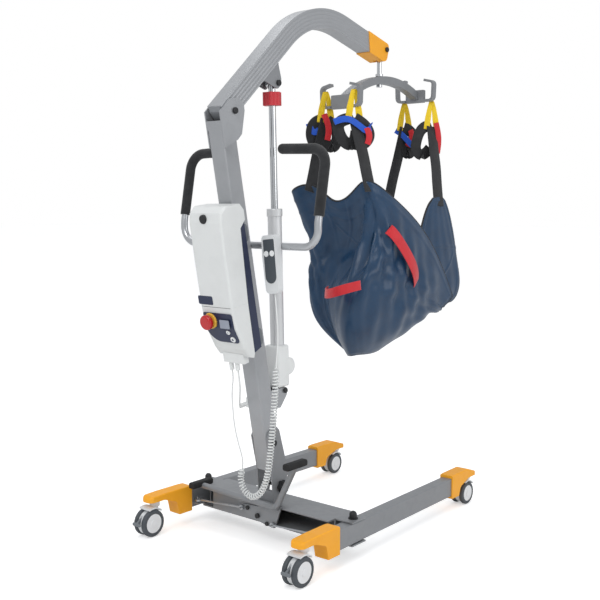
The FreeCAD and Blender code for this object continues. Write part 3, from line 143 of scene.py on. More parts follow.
@dataclass(frozen=True)
class Finish:
    """A surface as it was made: colour, gloss and the relief that its making leaves.

    Attributes:
        name: common name of the material and its finish.
        colour: sRGB hex colour.
        second: sRGB hex colour of the patches, dust or worn places.
        roughness: base roughness.
        metallic: 1 on bare metal.
        grain: kind of relief.
        pitch: real size of the relief in millimetres, coarse enough to show.
        relief: height of the relief in millimetres.
        sheen: fibre sheen, for cloth.
        coat: strength of a clear coat.
        turn: angle about X, in radians, that lays drawn lines along a leaning tube.
    """

    name: str
    colour: str
    second: str
    roughness: float
    metallic: float = 0.0
    grain: Grain = Grain.MOULDED
    pitch: float = 1.5
    relief: float = 0.05
    sheen: float = 0.0
    coat: float = 0.0
    turn: float = 0.0

    def height(self, tree: bpy.types.NodeTree, where: bpy.types.NodeSocket) -> bpy.types.NodeSocket:
        """Relief of this grain.

        Args:
            tree: the material's node tree.
            where: coordinates that the relief follows.

        Returns:
            Socket with its height, from 0 to 1 or 2.
        """
        scale = 1.0 / (self.pitch * MM)
        if self.grain in (Grain.DRAWN, Grain.WOVEN):
            woven = self.grain is Grain.WOVEN
            # A wave texture of scale 1 has one band in a twentieth of a unit.
            first, second = (add(tree, "ShaderNodeTexWave", {"Vector": where, "Scale": scale / 20,
                                                             "Distortion": 0.4 if woven else 0.0},
                                 wave_type="BANDS", bands_direction=axis, wave_profile="SIN").outputs["Fac"]
                             for axis in ("X", "Y"))
            return add(tree, "ShaderNodeMath", {0: first, 1: second},
                       operation="MAXIMUM" if woven else "ADD").outputs[0]
        detail = {Grain.FOAM: 6.0, Grain.MOULDED: 3.0, Grain.PEEL: 1.0, Grain.PLAIN: 1.0}[self.grain]
        return add(tree, "ShaderNodeTexNoise", {"Vector": where, "Scale": scale, "Detail": detail,
                                                "Roughness": 0.6}).outputs["Fac"]

    def colours(self, tree: bpy.types.NodeTree, where: bpy.types.NodeSocket) -> bpy.types.NodeSocket:
        """Colour of the surface: the base with soft patches of the second one, some 60 mm across.

        Args:
            tree: the material's node tree.
            where: coordinates that the patches follow.

        Returns:
            Socket with the colour.
        """
        patches = add(tree, "ShaderNodeTexNoise", {"Vector": where, "Scale": 16.0, "Detail": 5.0,
                                                   "Roughness": 0.62})
        spread = add(tree, "ShaderNodeMapRange", {"Value": patches.outputs["Fac"], "From Min": 0.45,
                                                  "From Max": 0.75, "To Min": 0.0, "To Max": 0.55})
        mixed = add(tree, "ShaderNodeMix", {"Factor": spread.outputs["Result"]}, data_type="RGBA")
        mixed.inputs[6].default_value = linear(self.colour)
        mixed.inputs[7].default_value = linear(self.second)
        return mixed.outputs[2]

    def build(self) -> bpy.types.Material:
        """Material with colour patches, uneven gloss and the relief as bump."""
        material = bpy.data.materials.new(self.name)
        material.use_nodes = True
        tree = material.node_tree
        shader = tree.nodes["Principled BSDF"]
        where = add(tree, "ShaderNodeTexCoord").outputs["Object"]
        turned = add(tree, "ShaderNodeMapping", {"Vector": where, "Rotation": (-self.turn, 0.0, 0.0)})
        tree.links.new(self.colours(tree, where), shader.inputs["Base Color"])
        smears = add(tree, "ShaderNodeTexNoise", {"Vector": where, "Scale": 35.0, "Detail": 4.0})
        gloss = add(tree, "ShaderNodeMapRange", {"Value": smears.outputs["Fac"], "From Min": 0.3,
                                                 "From Max": 0.7,
                                                 "To Min": self.roughness * 0.88,
                                                 "To Max": self.roughness * 1.14})
        tree.links.new(gloss.outputs["Result"], shader.inputs["Roughness"])
        bump = add(tree, "ShaderNodeBump", {"Height": self.height(tree, turned.outputs["Vector"]),
                                            "Distance": self.relief * MM, "Strength": 1.0})
        tree.links.new(bump.outputs["Normal"], shader.inputs["Normal"])
        shader.inputs["Metallic"].default_value = self.metallic
        shader.inputs["Sheen Weight"].default_value = self.sheen
        shader.inputs["Coat Weight"].default_value = self.coat
        shader.inputs["Coat Roughness"].default_value = 0.15
        return material


def moulded(name: str, colour: str, second: str, roughness: float = 0.42) -> Finish:
    """Moulded plastic: even colour and a fine matt texture that softens every highlight."""
    return Finish(name, colour, second, roughness, pitch=1.4, relief=0.035)


def webbing(name: str, colour: str, second: str, sheen: float = 0.2, roughness: float = 0.6) -> Finish:
    """Woven polyester webbing: visible threads and a faint sheen at grazing angles."""
    return Finish(name, colour, second, roughness, grain=Grain.WOVEN, pitch=2.6, relief=0.16, sheen=sheen)


@dataclass(frozen=True)
class TwoTone:
    """A moulding in two colours, parted by the distance from an axis along X or from a point.

    Attributes:
        outer: finish beyond the radius, which also gives the relief.
        inner: sRGB hex colour inside the radius.
        centre: a point on the axis, in metres.
        radius: where the colours meet, in metres.
        flatten: 0 leaves X out of the distance, 1 keeps it.
    """

    outer: Finish
    inner: str
    centre: tuple[float, float, float]
    radius: float
    flatten: float = 0.0

    def build(self) -> bpy.types.Material:
        """Material of the outer finish with its colour changed inside the radius."""
        material = self.outer.build()
        tree = material.node_tree
        shader = tree.nodes["Principled BSDF"]
        where = add(tree, "ShaderNodeTexCoord").outputs["Object"]
        moved = add(tree, "ShaderNodeVectorMath", {0: where, 1: tuple(-c for c in self.centre)},
                    operation="ADD")
        flat = add(tree, "ShaderNodeVectorMath", {0: moved.outputs[0], 1: (self.flatten, 1.0, 1.0)},
                   operation="MULTIPLY")
        reach = add(tree, "ShaderNodeVectorMath", {0: flat.outputs[0]}, operation="LENGTH")
        inside = add(tree, "ShaderNodeMath", {0: reach.outputs["Value"], 1: self.radius},
                     operation="LESS_THAN")
        mixed = add(tree, "ShaderNodeMix", {"Factor": inside.outputs[0]}, data_type="RGBA")
        tree.links.new(shader.inputs["Base Color"].links[0].from_socket, mixed.inputs[6])
        mixed.inputs[7].default_value = linear(self.inner)
        tree.links.new(mixed.outputs[2], shader.inputs["Base Color"])
        return material


@dataclass(frozen=True)
class BentLines:
    """Drawn lines that follow a tube bent in the YZ plane, whose finish has the other properties.

    With q the place from the bend's centre and a, b the tube's directions before and after the bend,
    the lines are level sets of |q - min(q.a, 0) a - max(q.b, 0) b|: straight, round and straight again.
    """

    outer: Finish
    centre: tuple[float, float, float]
    before: float
    after: float

    def build(self) -> bpy.types.Material:
        """Material of the finish, with lines at its pitch as its relief."""
        material = self.outer.build()
        tree = material.node_tree
        bump = next(node for node in tree.nodes if node.bl_idname == "ShaderNodeBump")
        where = add(tree, "ShaderNodeTexCoord").outputs["Object"]
        flat = add(tree, "ShaderNodeVectorMath", {0: where, 1: (0.0, 1.0, 1.0)}, operation="MULTIPLY")
        start = add(tree, "ShaderNodeVectorMath", {0: flat.outputs[0], 1: tuple(-c for c in self.centre)},
                    operation="ADD").outputs[0]
        kept = start
        for angle, limit in ((self.before, "MINIMUM"), (self.after, "MAXIMUM")):
            along = (0.0, math.cos(angle), math.sin(angle))
            dot = add(tree, "ShaderNodeVectorMath", {0: start, 1: along}, operation="DOT_PRODUCT")
            part = add(tree, "ShaderNodeMath", {0: dot.outputs["Value"], 1: 0.0}, operation=limit)
            taken = add(tree, "ShaderNodeVectorMath", {0: along, "Scale": part.outputs[0]}, operation="SCALE")
            kept = add(tree, "ShaderNodeVectorMath", {0: kept, 1: taken.outputs[0]},
                       operation="SUBTRACT").outputs[0]
        reach = add(tree, "ShaderNodeVectorMath", {0: kept}, operation="LENGTH")
        phase = add(tree, "ShaderNodeMath", {0: reach.outputs["Value"],
                                             1: 2 * math.pi / (self.outer.pitch * MM)},
                    operation="MULTIPLY")
        wave = add(tree, "ShaderNodeMath", {0: phase.outputs[0]}, operation="SINE")
        tree.links.new(wave.outputs[0], bump.inputs["Height"])
        return material


# Satin grey powder coat on welded steel: soft highlights and a fine orange peel.
GREY_PAINT = Finish("grey powder coated steel", "8f9194", "86888b", 0.42, 0.35, Grain.PEEL, 1.2, 0.02,
                    coat=0.1)
# The same coat on the drawn mast and boom, whose lines are drawn coarser than real so that they show.
MAST_PAINT = Finish("grey coated drawn tube", "a9abae", "9fa1a4", 0.36, 0.5, Grain.DRAWN, 13.0, 0.5, coat=0.1,
                    turn=MAST_LEAN)
# Moulded plastics: nylon where it takes knocks, with a coarser texture, and ABS on the cases.
ORANGE = Finish("orange moulded nylon", "fdae1b", "f7a414", 0.45, pitch=1.6)
HOOD_GREY = Finish("mid grey moulded nylon", "74797e", "6b7075", 0.5, pitch=1.6)
HOOD_WHITE = Finish("pale grey caster hood", "dfe1e2", "d2d4d6", 0.45, pitch=1.6)
BLACK_PLASTIC = Finish("black moulded nylon", "1c1d1f", "26282b", 0.45, relief=0.04)
RED_KNOB = Finish("red moulded nylon", "c8303a", "bd2a34", 0.4, relief=0.03)
CASE_WHITE = moulded("light grey moulded ABS", "e2e4e3", "d9dbda")
NAVY_PLASTIC = moulded("navy moulded ABS", "262f4b", "212a44", 0.4)
MOTOR_WHITE = moulded("white moulded nylon", "e9ebea", "dddfde", 0.4)
HANDSET_GREY = moulded("pale grey moulded ABS", "dcdedf", "d2d4d5")
# Printed film over the keys: flatter than the case round it.
MEMBRANE = Finish("dark grey key membrane", "4a5056", "444a50", 0.5, pitch=1.4, relief=0.03)
# Smooth acrylic: a clear reflection on a flat grey.
DISPLAY = Finish("grey acrylic display window", "9aa0ad", "8f96a4", 0.2, 0.0, Grain.PEEL, 1.2, 0.01)
# Polished push buttons: small bright highlights.
STOP_RED = Finish("red glossy push button", "c1161c", "b31319", 0.22, 0.0, Grain.PLAIN, 3.0, 0.01, coat=0.4)
BUTTON_WHITE = Finish("white push button", "eef0f0", "e4e6e6", 0.35, 0.0, Grain.PLAIN, 3.0, 0.01)
# Rubber, polyurethane and foam: dull, with no clear reflection.
PAD_RUBBER = Finish("black pedal rubber", "1a1a1b", "242425", 0.7, pitch=2.0, relief=0.12)
TYRE = Finish("grey polyurethane tread", "4b5055", "54595e", 0.62, pitch=1.8, relief=0.06)
FOAM = Finish("closed cell foam sleeve", "242527", "2c2d30", 0.86, 0.0, Grain.FOAM, 2.2, 0.22, sheen=0.15)
# Bare and plated metals, from a satin zinc to the mirror of the lift rod.
TUBE_STEEL = Finish("satin zinc plated tube", "b9bcbf", "aeb1b4", 0.3, 0.85, Grain.PEEL, 1.0, 0.01)
ANODISED = Finish("silver anodised aluminium tube", "dbdcdd", "cfd1d2", 0.42, 0.45, Grain.PEEL, 1.0, 0.012)
HANDLE_STEEL = Finish("satin chromed handle tube", "bfc1c4", "b2b4b7", 0.3, 0.8, Grain.PEEL, 1.0, 0.012)
CHROME = Finish("hard chromed rod", "d4d6d8", "c9cbcd", 0.1, 1.0, Grain.PLAIN, 3.0, 0.004)
# Solder resist over fibreglass, and the smooth sheath of the cords.
BOARD_GREEN = Finish("green circuit board", "1f5a34", "1a4d2c", 0.4, pitch=2.0)
CORD_WHITE = Finish("white cord sheath", "e6e8e7", "dcdedd", 0.4, pitch=1.2, relief=0.02)
# Coated nylon: a fine weave with a slight gloss along its folds.
NYLON = Finish("navy coated nylon", "123a5b", "0c2a46", 0.34, 0.0, Grain.WOVEN, 2.4, 0.05, sheen=0.05)
PIPING = Finish("black edge binding", "111318", "191c22", 0.6, 0.0, Grain.WOVEN, 1.6, 0.06, sheen=0.1)
WEB_BLACK = webbing("black webbing", "141518", "1d1e22", roughness=0.62)
# Dark grey of the painted shadow line along the joint between the cases, woven like the webbing.
SHADOW_LINE_GREY = webbing("dark grey painted shadow line", "3b3d42", "44464b", sheen=0.1)
WEB_YELLOW = webbing("yellow webbing", "f3cf12", "e6bf0c")
WEB_BLUE = webbing("blue webbing", "0b55c9", "094ab2")
WEB_RED = webbing("red webbing", "d01c28", "bf1722")



class Paintbox:
    """Materials built once each, by finish."""

    def __init__(self) -> None:
        """Start with no materials."""
        self.made: dict[object, bpy.types.Material] = {}

    def get(self, finish: Finish | TwoTone | BentLines) -> bpy.types.Material:
        """The material of a finish."""
        if finish not in self.made:
            self.made[finish] = finish.build()
        return self.made[finish]


PAINTS = Paintbox()


AnyFinish = Finish | TwoTone | BentLines


# ---------------------------------------------------------------- surfaces


def normalised(vectors: np.ndarray) -> np.ndarray:
    """Each vector divided by its own length."""
    return vectors / np.maximum(np.linalg.norm(vectors, axis=-1, keepdims=True), 1e-12)


def mesh_object(name: str, points: np.ndarray, faces: list[list[int]], finish: AnyFinish,
                uvs: np.ndarray | None = None, flat: int = 0) -> bpy.types.Object:
    """Object at the origin from its points and faces.

    Args:
        name: name of the piece.
        points: (n, 3) places in metres.
        faces: point numbers of each face.
        finish: what it is made of.
        uvs: (n, 2) distances over the surface in metres, or None.
        flat: how many faces, the last ones, are shaded flat.

    Returns:
        The new object.
    """
    mesh = bpy.data.meshes.new(name)
    mesh.from_pydata(points.reshape(-1, 3).tolist(), [], faces)
    if uvs is not None:
        layer = mesh.uv_layers.new(name="cloth")
        loops = np.empty(len(mesh.loops), dtype=np.int32)
        mesh.loops.foreach_get("vertex_index", loops)
        layer.data.foreach_set("uv", uvs.reshape(-1, 2)[loops].ravel())
    mesh.polygons.foreach_set("use_smooth", np.arange(len(faces)) < len(faces) - flat)
    mesh.update()
    obj = bpy.data.objects.new(name, mesh)
    bpy.context.scene.collection.objects.link(obj)
    obj.data.materials.append(PAINTS.get(finish))
    return obj


def quads(rows: int, columns: int, closed: bool) -> np.ndarray:
    """Quads of a grid of points.

    Args:
        rows: points down the grid.
        columns: points across it.
        closed: whether the last column joins the first one.

    Returns:
        (m, 4) point numbers.
    """
    i, j = np.meshgrid(np.arange(rows - 1), np.arange(columns if closed else columns - 1), indexing="ij")
    k = (j + 1) % columns
    corners = [i * columns + j, i * columns + k, (i + 1) * columns + k, (i + 1) * columns + j]
    return np.stack(corners, axis=-1).reshape(-1, 4)


def grid_object(name: str, grid: np.ndarray, finish: Finish) -> bpy.types.Object:
    """Open surface from a grid of points, with the distances along it as its UV map.

    Args:
        name: name of the piece.
        grid: (rows, columns, 3) places in metres.
        finish: what it is made of.

    Returns:
        The new object.
    """
    rows, columns = grid.shape[:2]
    down = np.concatenate([np.zeros((1, columns)), np.linalg.norm(np.diff(grid, axis=0), axis=-1).cumsum(0)])
    across = np.concatenate([np.zeros((rows, 1)), np.linalg.norm(np.diff(grid, axis=1), axis=-1).cumsum(1)],
                            axis=1)
    return mesh_object(name, grid, quads(rows, columns, False).tolist(), finish,
                       np.stack([across, down], axis=-1))


def frames(path: np.ndarray, reference: np.ndarray) -> tuple[np.ndarray, np.ndarray, np.ndarray]:
    """Directions that follow a path: N is the reference less its part along the tangent T.

    Args:
        path: (n, 3) places.
        reference: direction, or one for each place, that N keeps as near to as it can.

    Returns:
        T, N and B, which is square to both.
    """
    tangent = normalised(np.gradient(path, axis=0))
    across = normalised(reference - (reference * tangent).sum(-1, keepdims=True) * tangent)
    return tangent, across, np.cross(tangent, across)


def sweep(name: str, path: np.ndarray, section: np.ndarray, finish: AnyFinish,
          reference: np.ndarray, scale: np.ndarray | None = None) -> bpy.types.Object:
    """A closed section carried along a path: point = path + N * section x + B * section y.

    Args:
        name: name of the piece.
        path: (n, 3) places in metres.
        section: (m, 2) closed outline, anticlockwise about the path's direction.
        finish: what it is made of.
        reference: direction, or one direction for each place, that the section's x follows.
        scale: size of the section at each place, or None.

    Returns:
        The new object, its ends closed by fans.
    """
    _, across, other = frames(path, np.broadcast_to(reference, path.shape))
    size = np.ones(len(path)) if scale is None else scale
    rings = (path[:, None] + size[:, None, None] * (across[:, None] * section[None, :, :1]
                                                    + other[:, None] * section[None, :, 1:]))
    count = len(section)
    total = len(path) * count
    points = np.concatenate([rings.reshape(-1, 3), rings[0].mean(0)[None], rings[-1].mean(0)[None]])
    k = np.arange(count)
    following = (k + 1) % count
    first = np.stack([np.full(count, total), following, k], axis=-1)
    last = np.stack([np.full(count, total + 1), k + total - count, following + total - count], axis=-1)
    faces = quads(len(path), count, True).tolist() + first.tolist() + last.tolist()
    return mesh_object(name, points, faces, finish, flat=2 * count)


def circle(radius: float, sides: int = 16) -> np.ndarray:
    """Round section."""
    turn = np.linspace(0, 2 * math.pi, sides, endpoint=False)
    return radius * np.stack([np.cos(turn), np.sin(turn)], axis=-1)


def rounded_rectangle(width: float, height: float, radius: float, steps: int = 4) -> np.ndarray:
    """Section with four corners, each a quarter of a circle.

    Args:
        width: its size along x.
        height: its size along y.
        radius: radius of the corners.
        steps: points in each corner.

    Returns:
        (4 * steps, 2) outline, anticlockwise.
    """
    turn = np.linspace(0, math.pi / 2, steps)
    arcs = []
    for number, (sx, sy) in enumerate(((1, 1), (-1, 1), (-1, -1), (1, -1))):
        angle = turn + number * math.pi / 2
        centre = np.array([sx * (width / 2 - radius), sy * (height / 2 - radius)])
        arcs.append(centre + radius * np.stack([np.cos(angle), np.sin(angle)], axis=-1))
    return np.concatenate(arcs)


def smooth_path(points: np.ndarray, steps: int = 12) -> np.ndarray:
    """Points read along the NURBS of order 3 that has the given points as its control points.

    Args:
        points: (n, 3) control points in metres.
        steps: points read for each control point.

    Returns:
        (m, 3) places along the curve.
    """
    data = bpy.data.curves.new("route", "CURVE")
    data.dimensions = "3D"
    data.resolution_u = steps
    spline = data.splines.new("NURBS")
    spline.points.add(len(points) - 1)
    spline.points.foreach_set("co", np.c_[points, np.ones(len(points))].ravel())
    spline.order_u = 3
    spline.use_endpoint_u = True
    holder = bpy.data.objects.new("route", data)
    mesh = bpy.data.meshes.new_from_object(holder)
    found = np.empty(len(mesh.vertices) * 3)
    mesh.vertices.foreach_get("co", found)
    bpy.data.objects.remove(holder)
    bpy.data.curves.remove(data)
    bpy.data.meshes.remove(mesh)
    return found.reshape(-1, 3)


def lengths(path: np.ndarray) -> np.ndarray:
    """Distance along a path to each of its points."""
    return np.concatenate([[0.0], np.linalg.norm(np.diff(path, axis=0), axis=-1).cumsum()])


def resampled(path: np.ndarray, count: int) -> np.ndarray:
    """The same path with evenly spaced points.

    Args:
        path: (n, 3) places.
        count: how many points it gets.

    Returns:
        (count, 3) places.
    """
    far = lengths(path)
    even = np.linspace(0, far[-1], count)
    return np.stack([np.interp(even, far, path[:, axis]) for axis in range(3)], axis=-1)


def b_spline(net: np.ndarray, rows: int, columns: int) -> np.ndarray:
    """Cubic B-spline surface with clamped ends over a net of control points.

    Each coordinate is the sum over the net of N_i(u) N_j(v) times the control point, where N_i are
    the cubic basis functions by the Cox and de Boor recursion.

    Args:
        net: (p, q, 3) control points.
        rows: points along the net's first direction.
        columns: points along its second direction.

    Returns:
        (rows, columns, 3) places.
    """
    def basis(count: int, samples: int) -> np.ndarray:
        """Basis functions at evenly spaced parameters.

        Args:
            count: number of control points.
            samples: number of parameters.

        Returns:
            (count, samples) values.
        """
        knots = np.concatenate([np.zeros(3), np.linspace(0, 1, count - 2), np.ones(3)])
        t = np.linspace(0, 1 - 1e-9, samples)
        values = ((knots[:-1, None] <= t) & (t < knots[1:, None])).astype(float)
        for degree in range(1, 4):
            left = knots[degree:-1] - knots[:-degree - 1]
            right = knots[degree + 1:] - knots[1:-degree]
            with np.errstate(divide="ignore", invalid="ignore"):
                a = np.where(left[:, None] > 0, (t - knots[:-degree - 1, None]) / left[:, None], 0)
                b = np.where(right[:, None] > 0, (knots[degree + 1:, None] - t) / right[:, None], 0)
            values = a * values[:-1] + b * values[1:]
        return values

    return np.einsum("iu,jv,ijk->uvk", basis(net.shape[0], rows), basis(net.shape[1], columns), net)


def ride(obj: bpy.types.Object, body: str) -> bpy.types.Object:
    """Let a piece move with a body.

    Args:
        obj: the piece.
        body: body that it rides on.

    Returns:
        The same piece.
    """
    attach(obj, body)
    LOG.info("%s rides on %s", obj.name, body)
    return obj


# ---------------------------------------------------------------- studio


@dataclass(frozen=True)
class Studio:
    """White studio: a pale floor, soft lamps and the camera.

    Attributes:
        eye: where the camera stands, in metres.
        turn: how far it looks round from +Y towards -X, in degrees.
        dip: how far it looks down, in degrees.
        lens: focal length in millimetres on a 36 mm sensor.
        middle: what the lamps are aimed at, in metres.
        sky: colour of the light that comes from all round.
        white: colour of the background.
        floor_reach: half the floor's side, in metres.
        floor_drop: how far it lies below the wheels, in metres.
        floor_glow: strength that brings the lit floor to white for the camera.
    """

    eye: tuple[float, float, float] = (2.2031, -2.8687, 1.2225)
    turn: float = 39.717
    dip: float = 5.991
    lens: float = 56.02
    middle: tuple[float, float, float] = (0.0, 0.0, 0.9)
    sky: tuple[float, ...] = (0.62, 0.63, 0.645, 1.0)
    white: tuple[float, ...] = (1.0, 1.0, 1.0, 1.0)
    floor_reach: float = 40.0
    floor_drop: float = 0.0005
    floor_glow: float = 0.44

    def camera(self) -> None:
        """Make the camera and aim it."""
        data = bpy.data.cameras.new("camera")
        data.lens, data.sensor_width = self.lens, 36.0
        camera = bpy.data.objects.new("camera", data)
        camera.location = self.eye
        camera.rotation_euler = (math.radians(90 - self.dip), 0.0, math.radians(self.turn))
        bpy.context.scene.collection.objects.link(camera)
        bpy.context.scene.camera = camera

    def world(self) -> None:
        """World that lights softly and shows plain white behind the object and through clear pieces."""
        world = bpy.data.worlds.new("studio")
        bpy.context.scene.world = world
        world.use_nodes = True
        tree = world.node_tree
        path = add(tree, "ShaderNodeLightPath")
        seen = add(tree, "ShaderNodeMath", {0: path.outputs["Is Camera Ray"],
                                            1: path.outputs["Is Transmission Ray"]}, operation="MAXIMUM")
        mixed = add(tree, "ShaderNodeMix", {"Factor": seen.outputs[0]}, data_type="RGBA")
        mixed.inputs[6].default_value = self.sky
        mixed.inputs[7].default_value = self.white
        tree.links.new(mixed.outputs[2], tree.nodes["Background"].inputs["Color"])

    def lamp(self, name: str, spot: Point, size: float, power: float) -> None:
        """Area lamp aimed at the middle of the object.

        Args:
            name: name of the lamp.
            spot: where it stands, in metres.
            size: diameter of its disc, in metres.
            power: in watts.
        """
        data = bpy.data.lights.new(name, "AREA")
        data.shape, data.size, data.energy = "DISK", size, power
        lamp = bpy.data.objects.new(name, data)
        lamp.location = spot
        aim = np.array(self.middle) - np.array(spot)
        lamp.rotation_euler = (math.atan2(math.hypot(aim[0], aim[1]), -aim[2]), 0.0,
                               math.atan2(aim[1], aim[0]) - math.pi / 2)
        bpy.context.scene.collection.objects.link(lamp)

    def floor(self) -> None:
        """Pale floor that shows white to the camera and keeps the object's shadow."""
        ends = (-self.floor_reach, self.floor_reach)
        grid = np.array([[[x, y, -self.floor_drop] for x in ends] for y in ends])
        floor = grid_object("floor", grid, CASE_WHITE)
        material = bpy.data.materials.new("matt white studio floor")
        material.use_nodes = True
        tree = material.node_tree
        shader = tree.nodes["Principled BSDF"]
        shader.inputs["Base Color"].default_value = (0.9, 0.9, 0.9, 1.0)
        shader.inputs["Roughness"].default_value = 0.7
        shader.inputs["Specular IOR Level"].default_value = 0.1
        path = add(tree, "ShaderNodeLightPath")
        glow = add(tree, "ShaderNodeMath", {0: path.outputs["Is Camera Ray"], 1: self.floor_glow},
                   operation="MULTIPLY")
        tree.links.new(glow.outputs[0], shader.inputs["Emission Strength"])
        shader.inputs["Emission Color"].default_value = self.white
        floor.data.materials[0] = material

    def build(self) -> None:
        """Make the whole studio."""
        self.camera()
        self.world()
        self.lamp("key", (1.2, -3.6, 3.9), 2.4, 62.0)
        self.lamp("fill", (4.2, 0.6, 2.2), 2.4, 30.0)
        self.lamp("top", (-0.8, 0.6, 4.6), 3.0, 36.0)
        self.floor()
        bpy.context.scene.view_settings.view_transform = "Standard"


# ---------------------------------------------------------------- cords


@dataclass
class Cords:
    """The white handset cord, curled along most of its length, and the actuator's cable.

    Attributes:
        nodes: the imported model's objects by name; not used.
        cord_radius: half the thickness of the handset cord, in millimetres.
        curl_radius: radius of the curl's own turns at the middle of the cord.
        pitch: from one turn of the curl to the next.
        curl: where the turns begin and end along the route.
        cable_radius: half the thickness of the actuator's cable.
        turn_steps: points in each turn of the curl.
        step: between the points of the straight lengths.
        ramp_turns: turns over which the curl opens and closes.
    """

    nodes: dict
    cord_radius: float = 2.4
    curl_radius: float = 9.4
    pitch: float = 11.0
    curl: tuple[float, float] = (246.0, 880.0)
    cable_radius: float = 3.0
    turn_steps: int = 16
    step: float = 6.0
    ramp_turns: float = 1.6

    tail_route: tuple = ((151.15, -397.14, 918.04), (156, -398, 880), (164, -402, 838), (171, -406, 794),
                         (174, -409, 748), (171, -411, 706), (168, -412, 672))
    curl_route: tuple = ((167, -413, 606), (160, -413, 532), (152, -412, 452), (141, -411, 372),
                         (129, -410, 296), (103, -410, 228), (58, -411, 196), (16, -412, 216),
                         (0, -413, 262), (14, -414, 300))
    lead_route: tuple = ((14, -415, 334), (2, -417, 370), (-10, -419, 408), (-19, -421, 450),
                         (-22, -423, 494), (-25, -425, 540), (-22, -427, 582), (-16, -426.17, 616),
                         (-16, -432.17, 646.74))
    cable_route: tuple = ((12, -432.17, 646.74), (11, -425.17, 612), (4, -414, 580), (-8, -403, 550),
                          (-22, -390, 524), (-40, -369, 505), (-54.5, -352.3, 499.2))

    def handset(self) -> bpy.types.Object:
        """Handset cord: straight tail, curled length and straight lead on one route.

        The curl is C(s) + r(s) (N cos a + B sin a), with C the route, N and B square to it, the angle
        a growing by one turn each pitch, and r rising smoothly from 0 to the curl's radius at its ends.
        """
        route = smooth_path(places([*self.tail_route, *self.curl_route, *self.lead_route]), 24)
        total = lengths(route)[-1]
        turns = (self.curl[1] - self.curl[0]) / self.pitch
        start, end, step = self.curl[0] * MM, self.curl[1] * MM, self.step * MM
        inside = np.linspace(start, end, int(turns * self.turn_steps))
        before = np.arange(0.0, start, step)
        after = np.append(np.arange(end + step * 2 / 3, total, step), total)
        far = np.concatenate([before, inside, after])
        line = np.stack([np.interp(far, lengths(route), route[:, k]) for k in range(3)], axis=-1)
        _, across, other = frames(line, np.array([0.0, 1.0, 0.12]))
        share = np.clip((far / MM - self.curl[0]) / (self.curl[1] - self.curl[0]), 0.0, 1.0)
        angle = 2 * math.pi * turns * share[:, None]
        ramp = np.clip(np.minimum(share, 1 - share) * turns / self.ramp_turns, 0.0, 1.0)
        radius = (self.curl_radius * MM * ramp * ramp * (3 - 2 * ramp))[:, None]
        coil = line + radius * (across * np.cos(angle) + other * np.sin(angle))
        cord = sweep("handset_curly_cord", coil, circle(self.cord_radius * MM, 8), CORD_WHITE,
                     np.array([0.03, 1.0, 0.13]))
        LOG.info("handset cord on a route of %.2f m", total)
        return self.declare(cord, coil, self.cord_radius, "plug", "limp", "handset_cord", "handset_curl")

    def cable(self) -> bpy.types.Object:
        """Cable from the control box down to the lift motor."""
        route = smooth_path(places(self.cable_route), 24)
        cable = sweep("actuator_lead", route, circle(self.cable_radius * MM, 12), CORD_WHITE,
                      np.array([1.0, 0.2, 0.0]))
        return self.declare(cable, route, self.cable_radius, "object", "medium", "actuator_cable")

    def declare(self, cord: bpy.types.Object, path: np.ndarray, radius: float, far_end: str, stiffness: str,
                *nodes: str) -> bpy.types.Object:
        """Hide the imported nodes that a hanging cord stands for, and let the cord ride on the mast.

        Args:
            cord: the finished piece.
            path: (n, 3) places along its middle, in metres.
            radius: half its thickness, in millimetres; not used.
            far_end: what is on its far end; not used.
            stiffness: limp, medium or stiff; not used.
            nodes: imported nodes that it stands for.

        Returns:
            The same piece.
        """
        float(lengths(path)[-1])
        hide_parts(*nodes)
        return ride(cord, "mast")

    def build(self) -> None:
        """Make both cords."""
        self.handset()
        self.cable()


# ---------------------------------------------------------------- sling


